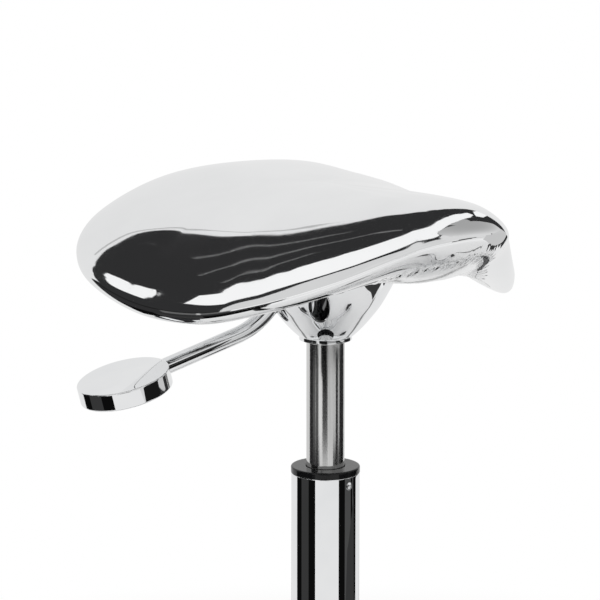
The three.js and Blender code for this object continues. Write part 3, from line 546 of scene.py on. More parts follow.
# ------------------------------------------------------------------ lever
LEVER_RADIUS = 6
# At rest the lever hangs a little higher than its straight lines say: turned about the pivot
LEVER_PIVOT = Matrix.Translation((-27, 0, 491.5))
LEVER_LIFT = LEVER_PIVOT @ Matrix.Rotation(math.radians(1.3), 4, "Y") @ LEVER_PIVOT.inverted()
BEND = Vector((-60, 0, 459))
OUTER_SLOPE = math.radians(16)
INNER_SLOPE = math.radians(46)
outer_way = Vector((-math.cos(OUTER_SLOPE), 0, -math.sin(OUTER_SLOPE)))
inner_way = Vector((math.cos(INNER_SLOPE), 0, math.sin(INNER_SLOPE)))


def lever_rod():
    start, finish = BEND + inner_way * 33, BEND + outer_way * 98.4
    bend_start, bend_end = BEND + inner_way * 16, BEND + outer_way * 16
    line = [start.lerp(bend_start, i / 6) for i in range(6)]
    for i in range(33):
        t = i / 32
        line.append((1 - t) ** 2 * bend_start + 2 * t * (1 - t) * BEND + t * t * bend_end)
    line.extend(bend_end.lerp(finish, i / 12) for i in range(1, 13))
    rings = []
    side = Vector((0, 1, 0))
    for i, at in enumerate(line):
        along = (line[min(i + 1, len(line) - 1)] - line[max(i - 1, 0)]).normalized()
        lift = along.cross(side).normalized()
        rings.append([at + LEVER_RADIUS * (math.cos(TAU * k / 96) * side + math.sin(TAU * k / 96) * lift)
                      for k in range(96)])
    return swept(rings)


verts, faces = lever_rod()
rod = outward(piece_of("lever_rod_chrome", moved(verts, LEVER_LIFT), faces, CHROME, 40))
place(rod, "lever", "lever_rod")

DISC_TURN = LEVER_LIFT @ Matrix.Translation(BEND + outer_way * 110.7) @ Matrix.Rotation(-OUTER_SLOPE, 4, "Y")
disc_top = [(0, 6.5), (6, 6.495), (14, 6.48), (22, 6.45), (29, 6.4)]
disc_outline = rounded([(0, -6.5), (33.2, -6.5, 1.2), (33.2, 6.35, 0.9), (29, 6.4, 0), (0, 6.5)])
disc_outline = [p for p in disc_outline if not (p[0] < 30 and p[1] > 6)] + disc_top[::-1]
verts, faces = lathe(disc_outline, 192)
disc = outward(piece_of("lever_disc_chrome", moved(verts, DISC_TURN), faces, CHROME, 40))
place(disc, "lever", "lever_disc")

# ------------------------------------------------------------------ saddle
SEAT_FRONT = 205
SEAT_REAR = 145
SEAT_HALF_WIDTH = 158
SEAT_RISE = 75
FOAM = 56.5
LINING_BOTTOM = 503.8
RECESS = 9.8
SEAT_ROLL = 0.0227
CROWN_POWER = 1.7
ROUNDING_POWER = 2.8
NOSE_ROUNDING = 0.5
SHOULDER = 12
SHOULDER_WIDTH = 0.03
LIP = 5
PUCKER = 0.8
RIPPLE = 0.07
CREASE = 0.03
saddle_shares = [
    (1, 0, 0.66, 1.03, 0.5), (0.96, 0.12, 0.63, 0.99, 0.45), (0.84, 0.24, 0.5, 0.88, 0.29),
    (0.62, 0.47, 0.15, 0.64, -0.09), (0.4, 0.69, -0.12, 0.4, -0.39), (0.19, 0.86, -0.27, 0.25, -0.58),
    (-0.14, 0.97, -0.26, 0.22, -0.59), (-0.57, 1, -0.04, 0.3, -0.37), (-0.84, 0.8, 0.23, 0.52, -0.16),
    (-0.97, 0.44, 0.38, 0.82, -0.07), (-1, 0, 0.42, 0.9, -0.01),
]
# How far out the shoulder between the top and the side runs, front to rear
shoulder_shares = [0.87, 0.865, 0.79, 0.718, 0.69, 0.672, 0.7, 0.83, 0.9, 0.915, 0.92]
# How far out the seam of the cover and the lining runs, front to rear
seam_shares = [0.93, 0.89, 0.85, 0.81, 0.86, 0.885, 0.885, 0.885, 0.885, 0.885, 0.885]
USUAL_SEAM = 0.885
SADDLE_TURNS = 1280
COARSE = 4
NOSE_END = 0.19
CORNER = 0.28
CORNER_REACH = 0.04

mirror = [(a, -s, *rest) for a, s, *rest in reversed(saddle_shares[1:-1])]
# The cover is finer round the nose, where it is gathered, and at the creased rear corners
steps = [i for i in range(SADDLE_TURNS)
         if i % COARSE == 0 or min(i, SADDLE_TURNS - i) < NOSE_END * SADDLE_TURNS
         or abs(min(i, SADDLE_TURNS - i) - CORNER * SADDLE_TURNS) < CORNER_REACH * SADDLE_TURNS]
SADDLE_STEPS = len(steps)
rim = np.array(smooth_line([
    (-s * SEAT_HALF_WIDTH, -a * (SEAT_FRONT if a > 0 else SEAT_REAR),
     mid * SEAT_RISE, top * SEAT_RISE, under * SEAT_RISE)
    for a, s, mid, top, under in saddle_shares + mirror
], SADDLE_TURNS, closed=True))[steps]
shoulder, seam = (
    np.array(smooth_line([(share,) for share in shares + shares[-2:0:-1]], SADDLE_TURNS, closed=True))[steps, 0]
    for shares in (shoulder_shares, seam_shares)
)
turn = np.array(steps) / SADDLE_TURNS


def eased(value, start, end):
    t = np.clip((value - start) / (end - start), 0, 1)
    return t * t * (3 - 2 * t)


from_nose = np.minimum(turn, 1 - turn)
nose = 1 - eased(from_nose, 0.028, 0.112)
gathers = 1 - eased(from_nose, 0.1, 0.19)


def shouldered(share):
    """The height that the shoulder adds: a tent with a rounded ridge, none at the axis or the rim."""
    def ridge(at):
        return SHOULDER_WIDTH - np.sqrt(SHOULDER_WIDTH ** 2 + (at - shoulder) ** 2)
    return SHOULDER * (ridge(share) - ridge(0) * (1 - share) - ridge(1) * share)


def gathered(share):
    """The puckers of the cover on both sides of the seam under the nose."""
    waves = np.sin(TAU * 104 * turn + 1.3) * (0.7 + 0.3 * np.sin(TAU * 37 * turn)) \
        + 0.4 * np.sin(TAU * 171 * turn + 2)
    return PUCKER * waves * gathers * (1 - eased(abs(share - seam), 0, 0.07))


def rippled(share):
    """Long waves where the cover is pulled over the rim, and short creases at the rear corners."""
    waves = np.sin(TAU * 41 * turn + 0.6) + 0.5 * np.sin(TAU * 67 * turn + 2.2)
    long_waves = RIPPLE * waves * eased(from_nose, 0.08, 0.14) * (1 - eased(from_nose, 0.3, 0.36))
    corner = eased(from_nose, 0.256, 0.264) * (1 - eased(from_nose, 0.28, 0.29))
    creases = CREASE * np.sin(TAU * 190 * turn) * (0.6 + 0.4 * np.sin(TAU * 57 * turn + 1)) * corner
    return (long_waves * eased(share, 0.9, 0.98) + creases * eased(share, 0.93, 0.975)) \
        * np.sqrt(max(0.0, 1 - share ** 12))


def saddle_ring(share, upper, lift=0.0, soft=False):
    """A ring of points on the saddle's upper or lower face, a share of the way out to its rim."""
    x, y, mid, top_edge, under_edge = rim.T
    top = FOAM + (top_edge - FOAM) * share ** CROWN_POWER
    under = under_edge * np.maximum(0.0, (share - 0.45) / 0.55) ** 2
    power = ROUNDING_POWER - NOSE_ROUNDING * nose if upper else 9
    fullness = np.sqrt(np.maximum(0.0, 1 - share ** power))
    height = mid + ((top if upper else under) - mid) * fullness
    if upper:
        height = height + shouldered(share) + rippled(share)
    elif soft:
        out = np.clip((share - seam) / (1 - seam), 0, 1)
        height = height + gathered(share) - LIP * nose * np.sin(math.pi * out)
    roll = -SEAT_ROLL * x * share * eased(share, 0.35, 0.7)
    return np.stack([x * share, y * share, LINING_BOTTOM + lift + height + roll], -1)


def inner_ring(share, lift=0.0, soft=False):
    """A ring on the lower face inside the seam, a share of the usual way out."""
    return saddle_ring(share * seam / USUAL_SEAM, False, lift, soft)


def cushion():
    top = [math.sin(0.5 * math.pi * i / 90) for i in range(1, 91)]
    wrap = [1 - (1 - seam) * (1 - math.cos(0.5 * math.pi * i / 28)) for i in range(1, 29)]
    rings = [saddle_ring(share, True) for share in top]
    rings += [saddle_ring(share, False, soft=True) for share in wrap]
    rings += [inner_ring(share, RECESS) for share in (USUAL_SEAM, 0.8, 0.6, 0.4, 0.2)]
    verts, faces = swept(rings, caps=False)
    first = len(verts)
    verts += [(0, 0, LINING_BOTTOM + FOAM), (0, 0, LINING_BOTTOM + RECESS)]
    last = (len(rings) - 1) * SADDLE_STEPS
    for k in range(SADDLE_STEPS):
        n = (k + 1) % SADDLE_STEPS
        faces.append((first, n, k))
        faces.append((first + 1, last + k, last + n))
    return verts, faces


seat = outward(piece_of("seat_cushion_vinyl", *cushion(), VINYL, 60))
place(seat, "seat", "seat_cushion")


def lining():
    shares = [0.1, 0.2, 0.3, 0.4, 0.5, 0.58, 0.66, 0.72, 0.78, 0.8, 0.815, 0.83, 0.84, 0.85, 0.86, 0.87,
              0.877, 0.882]
    below = [inner_ring(share, soft=True) for share in shares]
    above = [inner_ring(share, 1.2, soft=True) for share in shares]
    rings = above + below[::-1]
    verts, faces = swept(rings, caps=False)
    first = len(verts)
    verts += [(0, 0, LINING_BOTTOM + 1.2), (0, 0, LINING_BOTTOM)]
    last = (len(rings) - 1) * SADDLE_STEPS
    for k in range(SADDLE_STEPS):
        n = (k + 1) % SADDLE_STEPS
        faces.append((first, n, k))
        faces.append((first + 1, last + k, last + n))
    return verts, faces


under = outward(piece_of("underside_lining_vinyl", *lining(), LINING, 60))
place(under, "seat", "underside_lining")


def stitches():
    """Short slanting stitches across the seam under the nose."""
    inside = saddle_ring(seam - 0.014, False, -0.5, soft=True)
    outside = saddle_ring(seam + 0.016, False, -0.5, soft=True)
    middle = saddle_ring(seam, False, -1.1, soft=True)
    parts = []
    signed = (turn + 0.5) % 1 - 0.5
    order = np.argsort(signed)
    for i in range(-18, 7):
        at = 0.0058 * i
        a, b, c = (
            np.array([np.interp(at + shift, signed[order], ring[order, axis]) for axis in range(3)])
            for ring, shift in ((inside, -0.0022), (middle, 0), (outside, 0.0022))
        )
        line = [(1 - t) ** 2 * a + 2 * t * (1 - t) * b + t * t * c for t in np.linspace(0, 1, 9)]
        rings = []
        for j, point in enumerate(line):
            way = Vector(line[min(j + 1, 8)] - line[max(j - 1, 0)]).normalized()
            side = way.cross(Vector((0, 0, 1))).normalized()
            lift = way.cross(side)
            thick = 0.5 * math.sqrt(max(0.05, 1 - (abs(j - 4) / 4) ** 4))
            rings.append([Vector(point) + thick * (math.cos(TAU * k / 8) * side + math.sin(TAU * k / 8) * lift)
                          for k in range(8)])
        parts.append(swept(rings))
    return joined(*parts)


stitching = outward(piece_of("pommel_seam_thread", *stitches(), THREAD_AND_SEAM_SHADE, 60))
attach(stitching, "seat")


def shell():
    shares = [0.1, 0.25, 0.4, 0.5, 0.6, 0.7, 0.78, 0.84, 0.85]
    above = [inner_ring(share, 9.5) for share in shares]
    below = [inner_ring(share, 2.6) for share in shares]
    rings = above + below[::-1]
    verts, faces = swept(rings, caps=False)
    first = len(verts)
    verts += [(0, 0, LINING_BOTTOM + 9.5), (0, 0, LINING_BOTTOM + 2.6)]
    last = (len(rings) - 1) * SADDLE_STEPS
    for k in range(SADDLE_STEPS):
        n = (k + 1) % SADDLE_STEPS
        faces.append((first, n, k))
        faces.append((first + 1, last + k, last + n))
    return verts, faces


board_piece = outward(piece_of("seat_shell_board", *shell(), BOARD, 60))
place(board_piece, "seat", "seat_shell")

# ------------------------------------------------------------------ star base
LEGS = 5
SPOKE = 245
# Hub profile that is turned, from under the mouth of a leg over the top and down the bore
ROUND = 0.9927


def star_base():
    mouth = [math.radians(a) for a in (-31, -23, -11, 11, 23, 31)]
    columns = []
    for leg in range(LEGS):
        turn = math.pi / 2 + TAU * leg / LEGS
        columns += [turn + a for a in mouth]
    profile = [
        (32.6, 84), (32.2, 112), (31.4, 139), (31, 147), (30.6, 149.4), (28.5, 150), (26.4, 150),
        (25.3, 149), (25.2, 144), (24.6, 112), (24.1, 80), (24.4, 76.6), (26, 76), (31, 76),
        (32.8, 76.8), (33, 79),
    ]
    rows = len(profile)
    work = bmesh.new()
    grid = [[work.verts.new((r / ROUND * math.cos(a), r / ROUND * math.sin(a), z)) for a in columns]
            for r, z in profile]
    count = len(columns)
    per = len(mouth)
    for j in range(rows):
        for i in range(count):
            if j in (0, 1) and i % per != per - 1:
                continue
            n = (i + 1) % count
            work.faces.new((grid[j][i], grid[j][n], grid[(j + 1) % rows][n], grid[(j + 1) % rows][i]))
    # Each leg runs out from its mouth: distance, half width, under, top, depth of the channel
    stations = [
        (40, 19.5, 79.5, 142.5, 0), (46, 19, 79, 141.5, 0), (50, 18.8, 79, 141, 45), (60, 18.3, 78, 140.5, 46),
        (110, 16.8, 74, 129, 40), (170, 15, 70.5, 114.5, 30), (220, 13.4, 68, 103, 20),
        (229, 13.2, 67, 100.5, 18), (232.5, 13.1, 66.5, 99.6, 0), (245, 13.1, 66, 98.5, 0),
        (253, 10.6, 66, 98, 0), (257.2, 5.6, 66.3, 97.6, 0),
    ]
    for leg in range(LEGS):
        turn = math.pi / 2 + TAU * leg / LEGS
        first = leg * per
        ring = [grid[0][first + i] for i in range(per)]
        ring += [grid[1][first + per - 1]]
        ring += [grid[2][first + per - 1 - i] for i in range(per)]
        ring += [grid[1][first]]
        for out, half, low, high, depth in stations:
            wall = 3.2
            across = [-1, -1 + 0.12, -1 + wall / half, 1 - wall / half, 1 - 0.12, 1]
            if depth:
                across = [-1, -1 + wall / half, -1 + (wall + 0.8) / half]
                across += [-a for a in reversed(across)]
            lower = [(a * half, low) for a in across]
            if depth:
                lower[2], lower[3] = (lower[2][0], low + depth), (lower[3][0], low + depth)
            middle = low + 0.5 * (high - low)
            upper = [(half * 0.94, high - 6), (half * 0.72, high - 1.6), (half * 0.3, high),
                     (-half * 0.3, high), (-half * 0.72, high - 1.6), (-half * 0.94, high - 6)]
            section = lower + [(half, middle)] + upper + [(-half, middle)]
            made = []
            for w, z in section:
                x = out * math.cos(turn) - w * math.sin(turn)
                y = out * math.sin(turn) + w * math.cos(turn)
                made.append(work.verts.new((x, y, z)))
            for k in range(len(ring)):
                n = (k + 1) % len(ring)
                work.faces.new((ring[k], ring[n], made[n], made[k]))
            ring = made
        # The tip's end: strips between the lower and upper points
        low_row, high_row = ring[:per], ring[per + 1:2 * per + 1][::-1]
        right_mid, left_mid = ring[per], ring[2 * per + 1]
        middle_row = [left_mid]
        for i in range(1, per - 1):
            middle_row.append(work.verts.new((low_row[i].co + high_row[i].co) / 2))
        middle_row.append(right_mid)
        for i in range(per - 1):
            work.faces.new((low_row[i], middle_row[i], middle_row[i + 1], low_row[i + 1]))
            work.faces.new((middle_row[i], high_row[i], high_row[i + 1], middle_row[i + 1]))
    bmesh.ops.recalc_face_normals(work, faces=work.faces)
    bmesh.ops.scale(work, vec=(MM, MM, MM), verts=work.verts)
    mesh = bpy.data.meshes.new("base_star_chrome")
    work.to_mesh(mesh)
    work.free()
    piece = link("base_star_chrome", mesh, CHROME)
    smooth = piece.modifiers.new("smooth", "SUBSURF")
    smooth.levels = smooth.render_levels = 3
    apply_modifiers(piece)
    # The bored boss under each tip
    boss_outline = rounded([(5.9, 60, 0.4), (13, 60, 1.2), (13, 74, 0), (5.9, 74, 0)])
    for leg in range(LEGS):
        turn = math.pi / 2 + TAU * leg / LEGS
        verts, faces = lathe(boss_outline, 64)
        matrix = Matrix.Translation((SPOKE * math.cos(turn), SPOKE * math.sin(turn), 0))
        boss = outward(piece_of(f"boss_{leg}", moved(verts, matrix), faces, CHROME, 50))
        work = bmesh.new()
        work.from_mesh(piece.data)
        work.from_mesh(boss.data)
        work.to_mesh(piece.data)
        work.free()
        bpy.data.objects.remove(boss)
    return piece


place(star_base(), "base", "base_star")

# ------------------------------------------------------------------ castors
AXLE_LEVEL = 24.52
TRAIL = 25
HOOD_INNER = 26.5
HOOD_WALL = 2.6
HOOD_HALF = 21.8
WEB_HALF = 4
HOOD_START = math.radians(12)
HOOD_SWEEP = math.radians(150)
to_axle = Matrix.Translation((TRAIL, 0, AXLE_LEVEL))


def hood_cover():
    """The arched cover: a flat bar with rounded edges, bent over the wheels."""
    inner, outer = HOOD_INNER, HOOD_INNER + HOOD_WALL
    section = rounded([(inner, -HOOD_HALF, 0.8), (outer, -HOOD_HALF, 1.3), (outer, HOOD_HALF, 1.3),
                       (inner, HOOD_HALF, 0.8)])
    middle = (inner + outer) / 2
    rings = []
    steps = 64
    for i in range(steps + 1):
        t = i / steps
        angle = HOOD_START + HOOD_SWEEP * t
        edge = min(t, 1 - t) * HOOD_SWEEP * middle
        slim = math.sqrt(max(0.0, 1 - (1 - min(edge / 1.2, 1)) ** 2)) * 0.75 + 0.25
        ring = []
        for r, y in section:
            r = middle + (r - middle) * slim
            y = y - math.copysign(0.9 * (1 - slim), y)
            ring.append((r * math.cos(angle), y, r * math.sin(angle)))
        rings.append(ring)
    return swept(rings)


def hood_web():
    """The plate between the wheels: a disc round the axle that widens up into the cover."""
    line = []
    lower = 2 * math.pi - HOOD_SWEEP
    for i in range(48):
        angle = HOOD_START + HOOD_SWEEP + lower * i / 48
        line.append((19 * math.cos(angle), 19 * math.sin(angle)))
    for i in range(49):
        angle = HOOD_START + HOOD_SWEEP * i / 48
        line.append(((HOOD_INNER + 1.2) * math.cos(angle), (HOOD_INNER + 1.2) * math.sin(angle)))
    line = line[:-1]
    rings = []
    for y, shrink in ((-WEB_HALF, 0.97), (-WEB_HALF + 0.6, 1), (WEB_HALF - 0.6, 1), (WEB_HALF, 0.97)):
        rings.append([(x * shrink, y, z * shrink) for x, z in line])
    verts, faces = swept(rings, caps=False)
    count = len(line)
    for side, ring in ((0, 0), (1, 3)):
        centre = len(verts)
        verts.append((0, -WEB_HALF if side == 0 else WEB_HALF, 0))
        for k in range(count):
            faces.append((centre, ring * count + k, ring * count + (k + 1) % count))
    return verts, faces


def hood_boss():
    """The stem's boss, scooped out where the wheels turn."""
    verts, faces = lathe(rounded([
        (0, 34), (10.5, 34, 1), (10.5, 59.7, 0.8), (5.8, 59.7, 0.3), (5.8, 44.6, 0.2), (0, 44.6),
    ]), 96)
    boss = outward(piece_of("hood_boss", verts, faces, BLACK, 50))
    cutters = []
    for side in (-1, 1):
        room = lathe([(0, 4.4), (25.75, 4.4), (25.75, 30), (0, 30)], 96)
        turn = to_axle @ Matrix.Rotation(-side * math.pi / 2, 4, "X")
        cutter = outward(piece_of(f"room_{side}", moved(room[0], turn), room[1], BLACK))
        modifier = boss.modifiers.new("room", "BOOLEAN")
        modifier.object = cutter
        modifier.operation = "DIFFERENCE"
        modifier.solver = "EXACT"
        cutters.append(cutter)
    bpy.context.view_layer.update()
    apply_modifiers(boss)
    boss.data.set_sharp_from_angle(angle=math.radians(35))
    for cutter in cutters:
        bpy.data.objects.remove(cutter)
    return boss


def hood_mesh():
    boss = hood_boss()
    cover = moved(hood_cover()[0], to_axle), hood_cover()[1]
    web = moved(hood_web()[0], to_axle), hood_web()[1]
    shell = outward(piece_of("castor_hood", *joined(cover, web), BLACK, 40))
    work = bmesh.new()
    work.from_mesh(shell.data)
    work.from_mesh(boss.data)
    work.to_mesh(shell.data)
    work.free()
    mesh = shell.data
    bpy.data.objects.remove(boss)
    bpy.data.objects.remove(shell)
    return mesh


def wheel_mesh():
    """A twin castor's wheel, its flat side at 4.8 mm and its capped, dished side at 21.8 mm."""
    inside, outside = 4.8, 21.8
    outline = rounded([
        (4.3, inside, 0), (24.5, inside, 0.8), (24.5, outside, 2.6), (20.6, outside, 0.4), (20, 20.3, 0.4),
        (10.4, 19.6, 0.5), (9.6, 21.4, 0.8), (0, 21.6, 0), (0, 20.2, 0), (4.3, 20.2, 0),
    ])
    verts, faces = lathe(outline, 96)
    return verts, faces


hood = hood_mesh()
for i in range(LEGS):
    angle = math.pi / 2 + TAU * i / LEGS
    to_castor = Matrix.Translation((SPOKE * math.cos(angle) * MM, SPOKE * math.sin(angle) * MM, 0))
    to_castor = to_castor @ Matrix.Rotation(-math.pi / 2, 4, "Z")
    body = f"castor_{i + 1}"
    mesh = hood.copy()
    mesh.transform(to_castor)
    mesh.materials.clear()
    cover = link(f"{body}_hood_black", mesh, BLACK)
    place(cover, body, f"{body}_hood")
    for side, name in ((1, "right"), (-1, "left")):
        verts, faces = wheel_mesh()
        turn = Matrix.Translation((TRAIL, 0, AXLE_LEVEL)) @ Matrix.Rotation(side * math.pi / 2, 4, "X")
        wheel = outward(piece_of(f"{body}_wheel_{name}_tread", moved(verts, turn), faces, [TREAD, BLACK], 40))
        wheel.data.transform(to_castor)
        place(wheel, f"{body}_{name}", f"{body}_wheel_{name}")

# ------------------------------------------------------------------ studio
CARD_DISTANCE = 0.7


def glow(name, level, rise=None):
    """An even glow, or with rise one that changes from level to another between two heights."""
    material = bpy.data.materials.new(name)
    material.use_nodes = True
    tree = material.node_tree
    tree.nodes.clear()
    emission = tree.nodes.new("ShaderNodeEmission")
    emission.inputs["Color"].default_value = (level, level, level, 1)
    if rise:
        upper, low, high = rise
        coords = tree.nodes.new("ShaderNodeTexCoord")
        apart = tree.nodes.new("ShaderNodeSeparateXYZ")
        tree.links.new(coords.outputs["Object"], apart.inputs[0])
        shift = tree.nodes.new("ShaderNodeMapRange")
        shift.interpolation_type = "SMOOTHSTEP"
        for key, value in (("From Min", low), ("From Max", high), ("To Min", level), ("To Max", upper)):
            shift.inputs[key].default_value = value
        tree.links.new(apart.outputs["Z"], shift.inputs["Value"])
        tree.links.new(shift.outputs[0], emission.inputs["Color"])
    output = tree.nodes.new("ShaderNodeOutputMaterial")
    tree.links.new(emission.outputs[0], output.inputs[0])
    material.cycles.emission_sampling = "NONE"
    return material


def reflected_only(piece):
    piece.visible_camera = False
    piece.visible_diffuse = False
    piece.visible_shadow = False
    piece.visible_volume_scatter = False


def card(name, corners, level, distance=CARD_DISTANCE, upper=None):
    """A studio card or flag: corners are azimuth from the camera's side and elevation, in degrees."""
    work = bmesh.new()
    verts = []
    for azimuth, elevation in corners:
        a, e = math.radians(azimuth) + CAMERA_AZIMUTH, math.radians(elevation)
        verts.append(work.verts.new((math.sin(a) * math.cos(e), -math.cos(a) * math.cos(e), math.sin(e))))
    bmesh.ops.triangulate(work, faces=[work.faces.new(verts)])
    # Finer triangles follow the sphere that the cards lie on
    bmesh.ops.subdivide_edges(work, edges=work.edges, cuts=7, use_grid_fill=True)
    for v in work.verts:
        v.co = v.co.normalized() * distance + Vector((0, 0, 0.5))
    heights = [v.co[2] for v in work.verts]
    rise = (upper, min(heights), max(heights)) if upper is not None else None
    mesh = bpy.data.meshes.new(name)
    work.to_mesh(mesh)
    work.free()
    reflected_only(link(name, mesh, glow(name, level, rise)))


def band(name, start, end, low, high, level, distance=CARD_DISTANCE, upper=None):
    """A card between two directions and two elevations."""
    turns = np.linspace(start, end, max(2, int(abs(end - start) / 12) + 2))
    card(name, [(a, low) for a in turns] + [(a, high) for a in turns[::-1]], level, distance, upper)


def strip(name, line, width, level, distance=CARD_DISTANCE - 0.01):
    """A thin card along a line of corners."""
    for i in range(len(line) - 1):
        a, b = np.array(line[i], float), np.array(line[i + 1], float)
        way = (b - a) / np.linalg.norm(b - a)
        side = np.array([-way[1], way[0]]) * width / 2
        a, b = a - way * width * 0.3, b + way * width * 0.3
        card(f"{name}_{i}", [a - side, b - side, b + side, a + side], level, distance)


def near_card(name, corners, level):
    """A flat card or flag close to the stool: corners in metres."""
    mesh = bpy.data.meshes.new(name)
    mesh.from_pydata(corners, [], [tuple(range(len(corners)))])
    reflected_only(link(name, mesh, glow(name, level)))


card("backdrop", [
    (-190, -44), (-180, -44), (-160, -44), (-140, -44), (-124, -44), (-110, -44), (-110, -30), (-110, -14),
    (-97, -8), (-94.5, 10), (-98, 27), (-104, 34), (-109.5, 37.8), (-112, 40.5), (-116, 43), (-119, 44.5),
    (-121.6, 45.6), (-122.6, 46.8), (-122.4, 48.2), (-122.8, 50), (-123.5, 51.8), (-126, 52.3), (-131, 53.2), (-135, 54),
    (-137, 58), (-150, 60), (-165, 56), (-178, 50), (-182, 47), (-190, 30),
], 0.83)
card("backdrop_right", [(122, -44), (150, -44), (178, -44), (178, 47), (167, 22), (165, 12), (160, 8),
                        (150, 10), (141, 19), (128, 16), (122, 5), (124, -8), (135, -14), (135, -25.5),
                        (122, -27)], 0.83)
card("softbox", [
    (-75, 31), (-72, 14), (-58, 11), (-51, 10), (-50, 24), (-52, 33), (-48, 33), (-44, 29), (-46, 37),
    (-55, 47), (-60, 57), (-74, 76), (-110, 71), (-96, 66), (-81, 59), (-76, 53), (-77, 47),
    (-75.5, 43.5), (-73, 38), (-69, 34),
], 1.0)
card("blob", [(-87, 8), (-82.5, 8), (-82.5, 16), (-83.8, 22.5), (-85.5, 25.5), (-89, 28.5), (-91.5, 27), (-90.5, 21.5),
              (-89, 19.5), (-88.7, 16)], 1.0)
card("rim_band", [(-47, -16), (-47, -5), (-46, 6), (-44.5, 13), (-45, 23), (-40, 22), (-37, 20), (-32, 12),
                  (-22, 0), (-18, -16)], 0.7)
card("nose_glint", [(155, 44), (154, 29), (151, 24), (146, 35), (140, 48), (144, 56), (150, 52)], 1.0)
card("nose_streak", [(-110, 71), (-150, 74), (-182, 68), (-194, 64), (-202, 56), (-211, 56), (-214, 68), (-180, 83),
                     (-100, 84), (-74, 76)], 1.0)
card("nose_glow", [(-48, 40), (-58, 50), (-60, 62), (-50, 74), (0, 84), (118, 82), (120, 68), (119, 57),
                   (120, 42), (112, 24), (80, 18), (57, 17), (20, 22), (-18, 22), (-30, 26)], 0.72, upper=0.4)
card("zenith", [(-66, 70), (-30, 78), (30, 79), (100, 78), (150, 78), (-140, 78), (-100, 76)], 0.4, 0.72)
card("nose_side", [(58, -8), (90, -8), (121, -8), (121, 2), (112, 27), (80, 25), (60, 20)], 0.62)
card("nose_front", [(-30, -6), (20, -6), (57, -6), (57, 20), (20, 24), (-18, 24), (-28, 30), (-46, 42), (-42, 30), (-34, 14)], 0.75)
strip("edge_line", [(-108, 33), (-114, 38), (-120, 42.5), (-126, 45.5), (-130, 47), (-131, 48.5), (-130, 50.5),
                    (-131, 51.5), (-135, 51.5)], 1.15, 0.48)
strip("slit_high", [(-109, 45), (-110, 48), (-111, 50), (-114, 52), (-117, 54.5)], 0.5, 0.25)
strip("slit_middle", [(-97.5, 43), (-98.5, 46), (-99, 49), (-103, 51.5), (-106, 53.5), (-103, 56), (-92, 57.5)],
      0.5, 0.25)
strip("slit_low", [(-83, 43.2), (-87, 47.5), (-91, 49.5), (-92.5, 50.6), (-95, 52.5)], 0.4, 0.25)
card("front", [(17, -20), (40, -20), (58, -20), (58, 2), (40, 2), (17, 2)], 0.9, 6)
card("front_left", [(-36, -20), (-19, -20), (-19, 2), (-36, 2)], 1.0, 6)
# What the satin cylinder mirrors between its front and its edges
band("cylinder_grey", -81, -43, -21, -15.45, 0.13, 0.95)
band("cylinder_line", -63, -60, -21, -15.45, 0.5, 0.94)
band("cylinder_bright", -43, -22, -21, -15.45, 1.0, 0.95)
band("cylinder_front", 12, 63, -21, -15.45, 0.7, 0.95)
band("cylinder_light", 79, 91, -21, -15.45, 0.6, 0.95)
# What the bowl's upright lip mirrors: dark but for its middle
band("lip_left", -112, -40, -15.45, -13.5, 0.01, 0.95)
band("lip_middle", -40, 45, -15.45, -13.5, 0.3, 0.95)
band("lip_right", 45, 124, -15.45, -13.5, 0.01, 0.95)
# What the chrome column mirrors: dark sides with grey streaks, and a bright front
band("column_left", -110, -34, -38, -26, 0.004, 0.7)
band("column_left_streak", -87, -58, -38, -26, 0.04, 0.69)
band("column_front", -33, 45, -31.6, -21, 0.84, 0.95)
band("column_right", 45, 126, -31.6, -21, 0.004, 0.95)
band("column_right_streak", 68, 94, -31.3, -21, 0.07, 0.94)
band("column_right_line", 103, 106, -31.3, -21, 0.12, 0.94)
# Small dark shapes that the bowl mirrors: a flag at the right, and a line inside each outline
# Dark for the lever, with a grey streak, and light for the side of the nose
near_card("lever_flag", [(-0.15, -0.09, 0.39), (-0.045, -0.09, 0.39), (-0.045, -0.09, 0.474),
                         (-0.1, -0.09, 0.474), (-0.15, -0.09, 0.466)], 0.01)
near_card("lever_streak", [(-0.15, -0.0893, 0.4285), (-0.045, -0.0893, 0.457), (-0.045, -0.0893, 0.462),
                           (-0.15, -0.0893, 0.4325)], 0.16)
near_card("nose_near", [(0.03, -0.37, 0.385), (0.32, -0.095, 0.385), (0.32, -0.095, 0.56), (0.03, -0.37, 0.56)], 0.6)
card("bowl_flag", [(66, -39), (70, -37), (87, -43), (100, -43), (115, -42), (112, -36), (109, -28), (94, -30),
                   (78, -32)], 0.04)
LINE_DISTANCE = 0.6
strip("bowl_line_left", [(-117, -43), (-121, -47), (-128, -52), (-142, -53), (-163, -43), (-171, -34)],
      3.2, 0.25, LINE_DISTANCE)
strip("bowl_line_right", [(117, -41), (124, -46), (132, -49), (154, -45), (172, -27)], 3.2, 0.25, LINE_DISTANCE)


def floor_patch(name, corners, level):
    """A patch on the floor: corners are azimuth from the camera's side, in degrees, and radius in metres."""
    verts = []
    for azimuth, radius in corners:
        a = math.radians(azimuth) + CAMERA_AZIMUTH
        verts.append((radius * math.sin(a), -radius * math.cos(a), 0.0006))
    mesh = bpy.data.meshes.new(name)
    mesh.from_pydata(verts, [], [tuple(range(len(verts)))])
    reflected_only(link(name, mesh, glow(name, level)))


# Painted reflection: a darker patch on the floor that only reflections see, for the dark crescent in the bowl
floor_patch("bowl_crescent", [(0, 0.339), (14, 0.350), (26, 0.376), (40, 0.473), (50, 0.56), (46, 0.485),
                              (37, 0.389), (23, 0.342), (14, 0.336)], 0.2)

# Floor: a pale round that fades to the white background and keeps the shadow
FLOOR_RADIUS = 0.95
FADE_START = 0.55


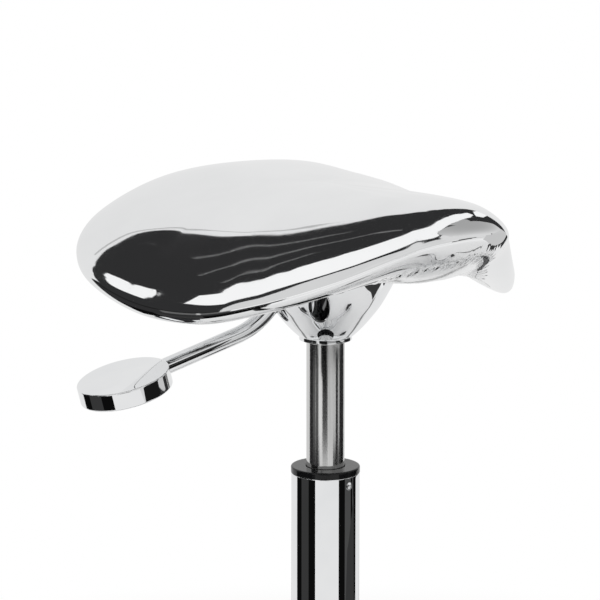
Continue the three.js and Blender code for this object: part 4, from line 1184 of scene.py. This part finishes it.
def floor():
    verts, faces = lathe([(0, 0), (300, 0), (600, 0), (1000 * FLOOR_RADIUS, 0)], 96)
    faces = [f for f in faces if len(set(f)) == len(f)]
    faces = [f for f in faces if not (0 in f and max(f) > 96)]
    piece = piece_of("floor", verts, faces, [])
    material = bpy.data.materials.new("floor")
    material.use_nodes = True
    tree = material.node_tree
    shader = tree.nodes["Principled BSDF"]
    shader.inputs["Base Color"].default_value = (0.92, 0.92, 0.92, 1)
    shader.inputs["Roughness"].default_value = 0.9
    shader.inputs["Specular IOR Level"].default_value = 0.1
    coords = tree.nodes.new("ShaderNodeTexCoord")
    length = tree.nodes.new("ShaderNodeVectorMath")
    length.operation = "LENGTH"
    tree.links.new(coords.outputs["Object"], length.inputs[0])
    fade = tree.nodes.new("ShaderNodeMapRange")
    fade.interpolation_type = "SMOOTHSTEP"
    fade.inputs["From Min"].default_value = FADE_START
    fade.inputs["From Max"].default_value = FLOOR_RADIUS - 0.05
    tree.links.new(length.outputs["Value"], fade.inputs["Value"])
    white = tree.nodes.new("ShaderNodeEmission")
    mix = tree.nodes.new("ShaderNodeMixShader")
    tree.links.new(fade.outputs[0], mix.inputs[0])
    tree.links.new(shader.outputs[0], mix.inputs[1])
    tree.links.new(white.outputs[0], mix.inputs[2])
    tree.links.new(mix.outputs[0], tree.nodes["Material Output"].inputs[0])
    material.cycles.emission_sampling = "NONE"
    piece.data.materials.append(material)


floor()

world = bpy.data.worlds.new("world")
bpy.context.scene.world = world
world.use_nodes = True
world.cycles.sampling_method = "NONE"
tree = world.node_tree
tree.nodes.clear()
path = tree.nodes.new("ShaderNodeLightPath")
levels = tree.nodes.new("ShaderNodeBackground")
levels.inputs["Color"].default_value = (0.72, 0.72, 0.72, 1)
white = tree.nodes.new("ShaderNodeBackground")
white.inputs["Color"].default_value = (1, 1, 1, 1)
room = tree.nodes.new("ShaderNodeBackground")
room.inputs["Color"].default_value = (0.03, 0.03, 0.031, 1)
seen = tree.nodes.new("ShaderNodeMixShader")
mirrored = tree.nodes.new("ShaderNodeMixShader")
tree.links.new(path.outputs["Is Glossy Ray"], mirrored.inputs[0])
tree.links.new(levels.outputs[0], mirrored.inputs[1])
tree.links.new(room.outputs[0], mirrored.inputs[2])
tree.links.new(path.outputs["Is Camera Ray"], seen.inputs[0])
tree.links.new(mirrored.outputs[0], seen.inputs[1])
tree.links.new(white.outputs[0], seen.inputs[2])
tree.links.new(seen.outputs[0], tree.nodes.new("ShaderNodeOutputWorld").inputs[0])

lamp_data = bpy.data.lights.new("softlight", "AREA")
lamp_data.energy = 12
lamp_data.size = 1.6
lamp = bpy.data.objects.new("softlight", lamp_data)
lamp.location = (-0.9, -0.7, 2.4)
lamp.rotation_euler = (Vector((0, 0, 0.3)) - lamp.location).to_track_quat("-Z", "Y").to_euler()
lamp.visible_glossy = False
bpy.context.scene.collection.objects.link(lamp)

bpy.context.scene.view_settings.view_transform = "Standard"
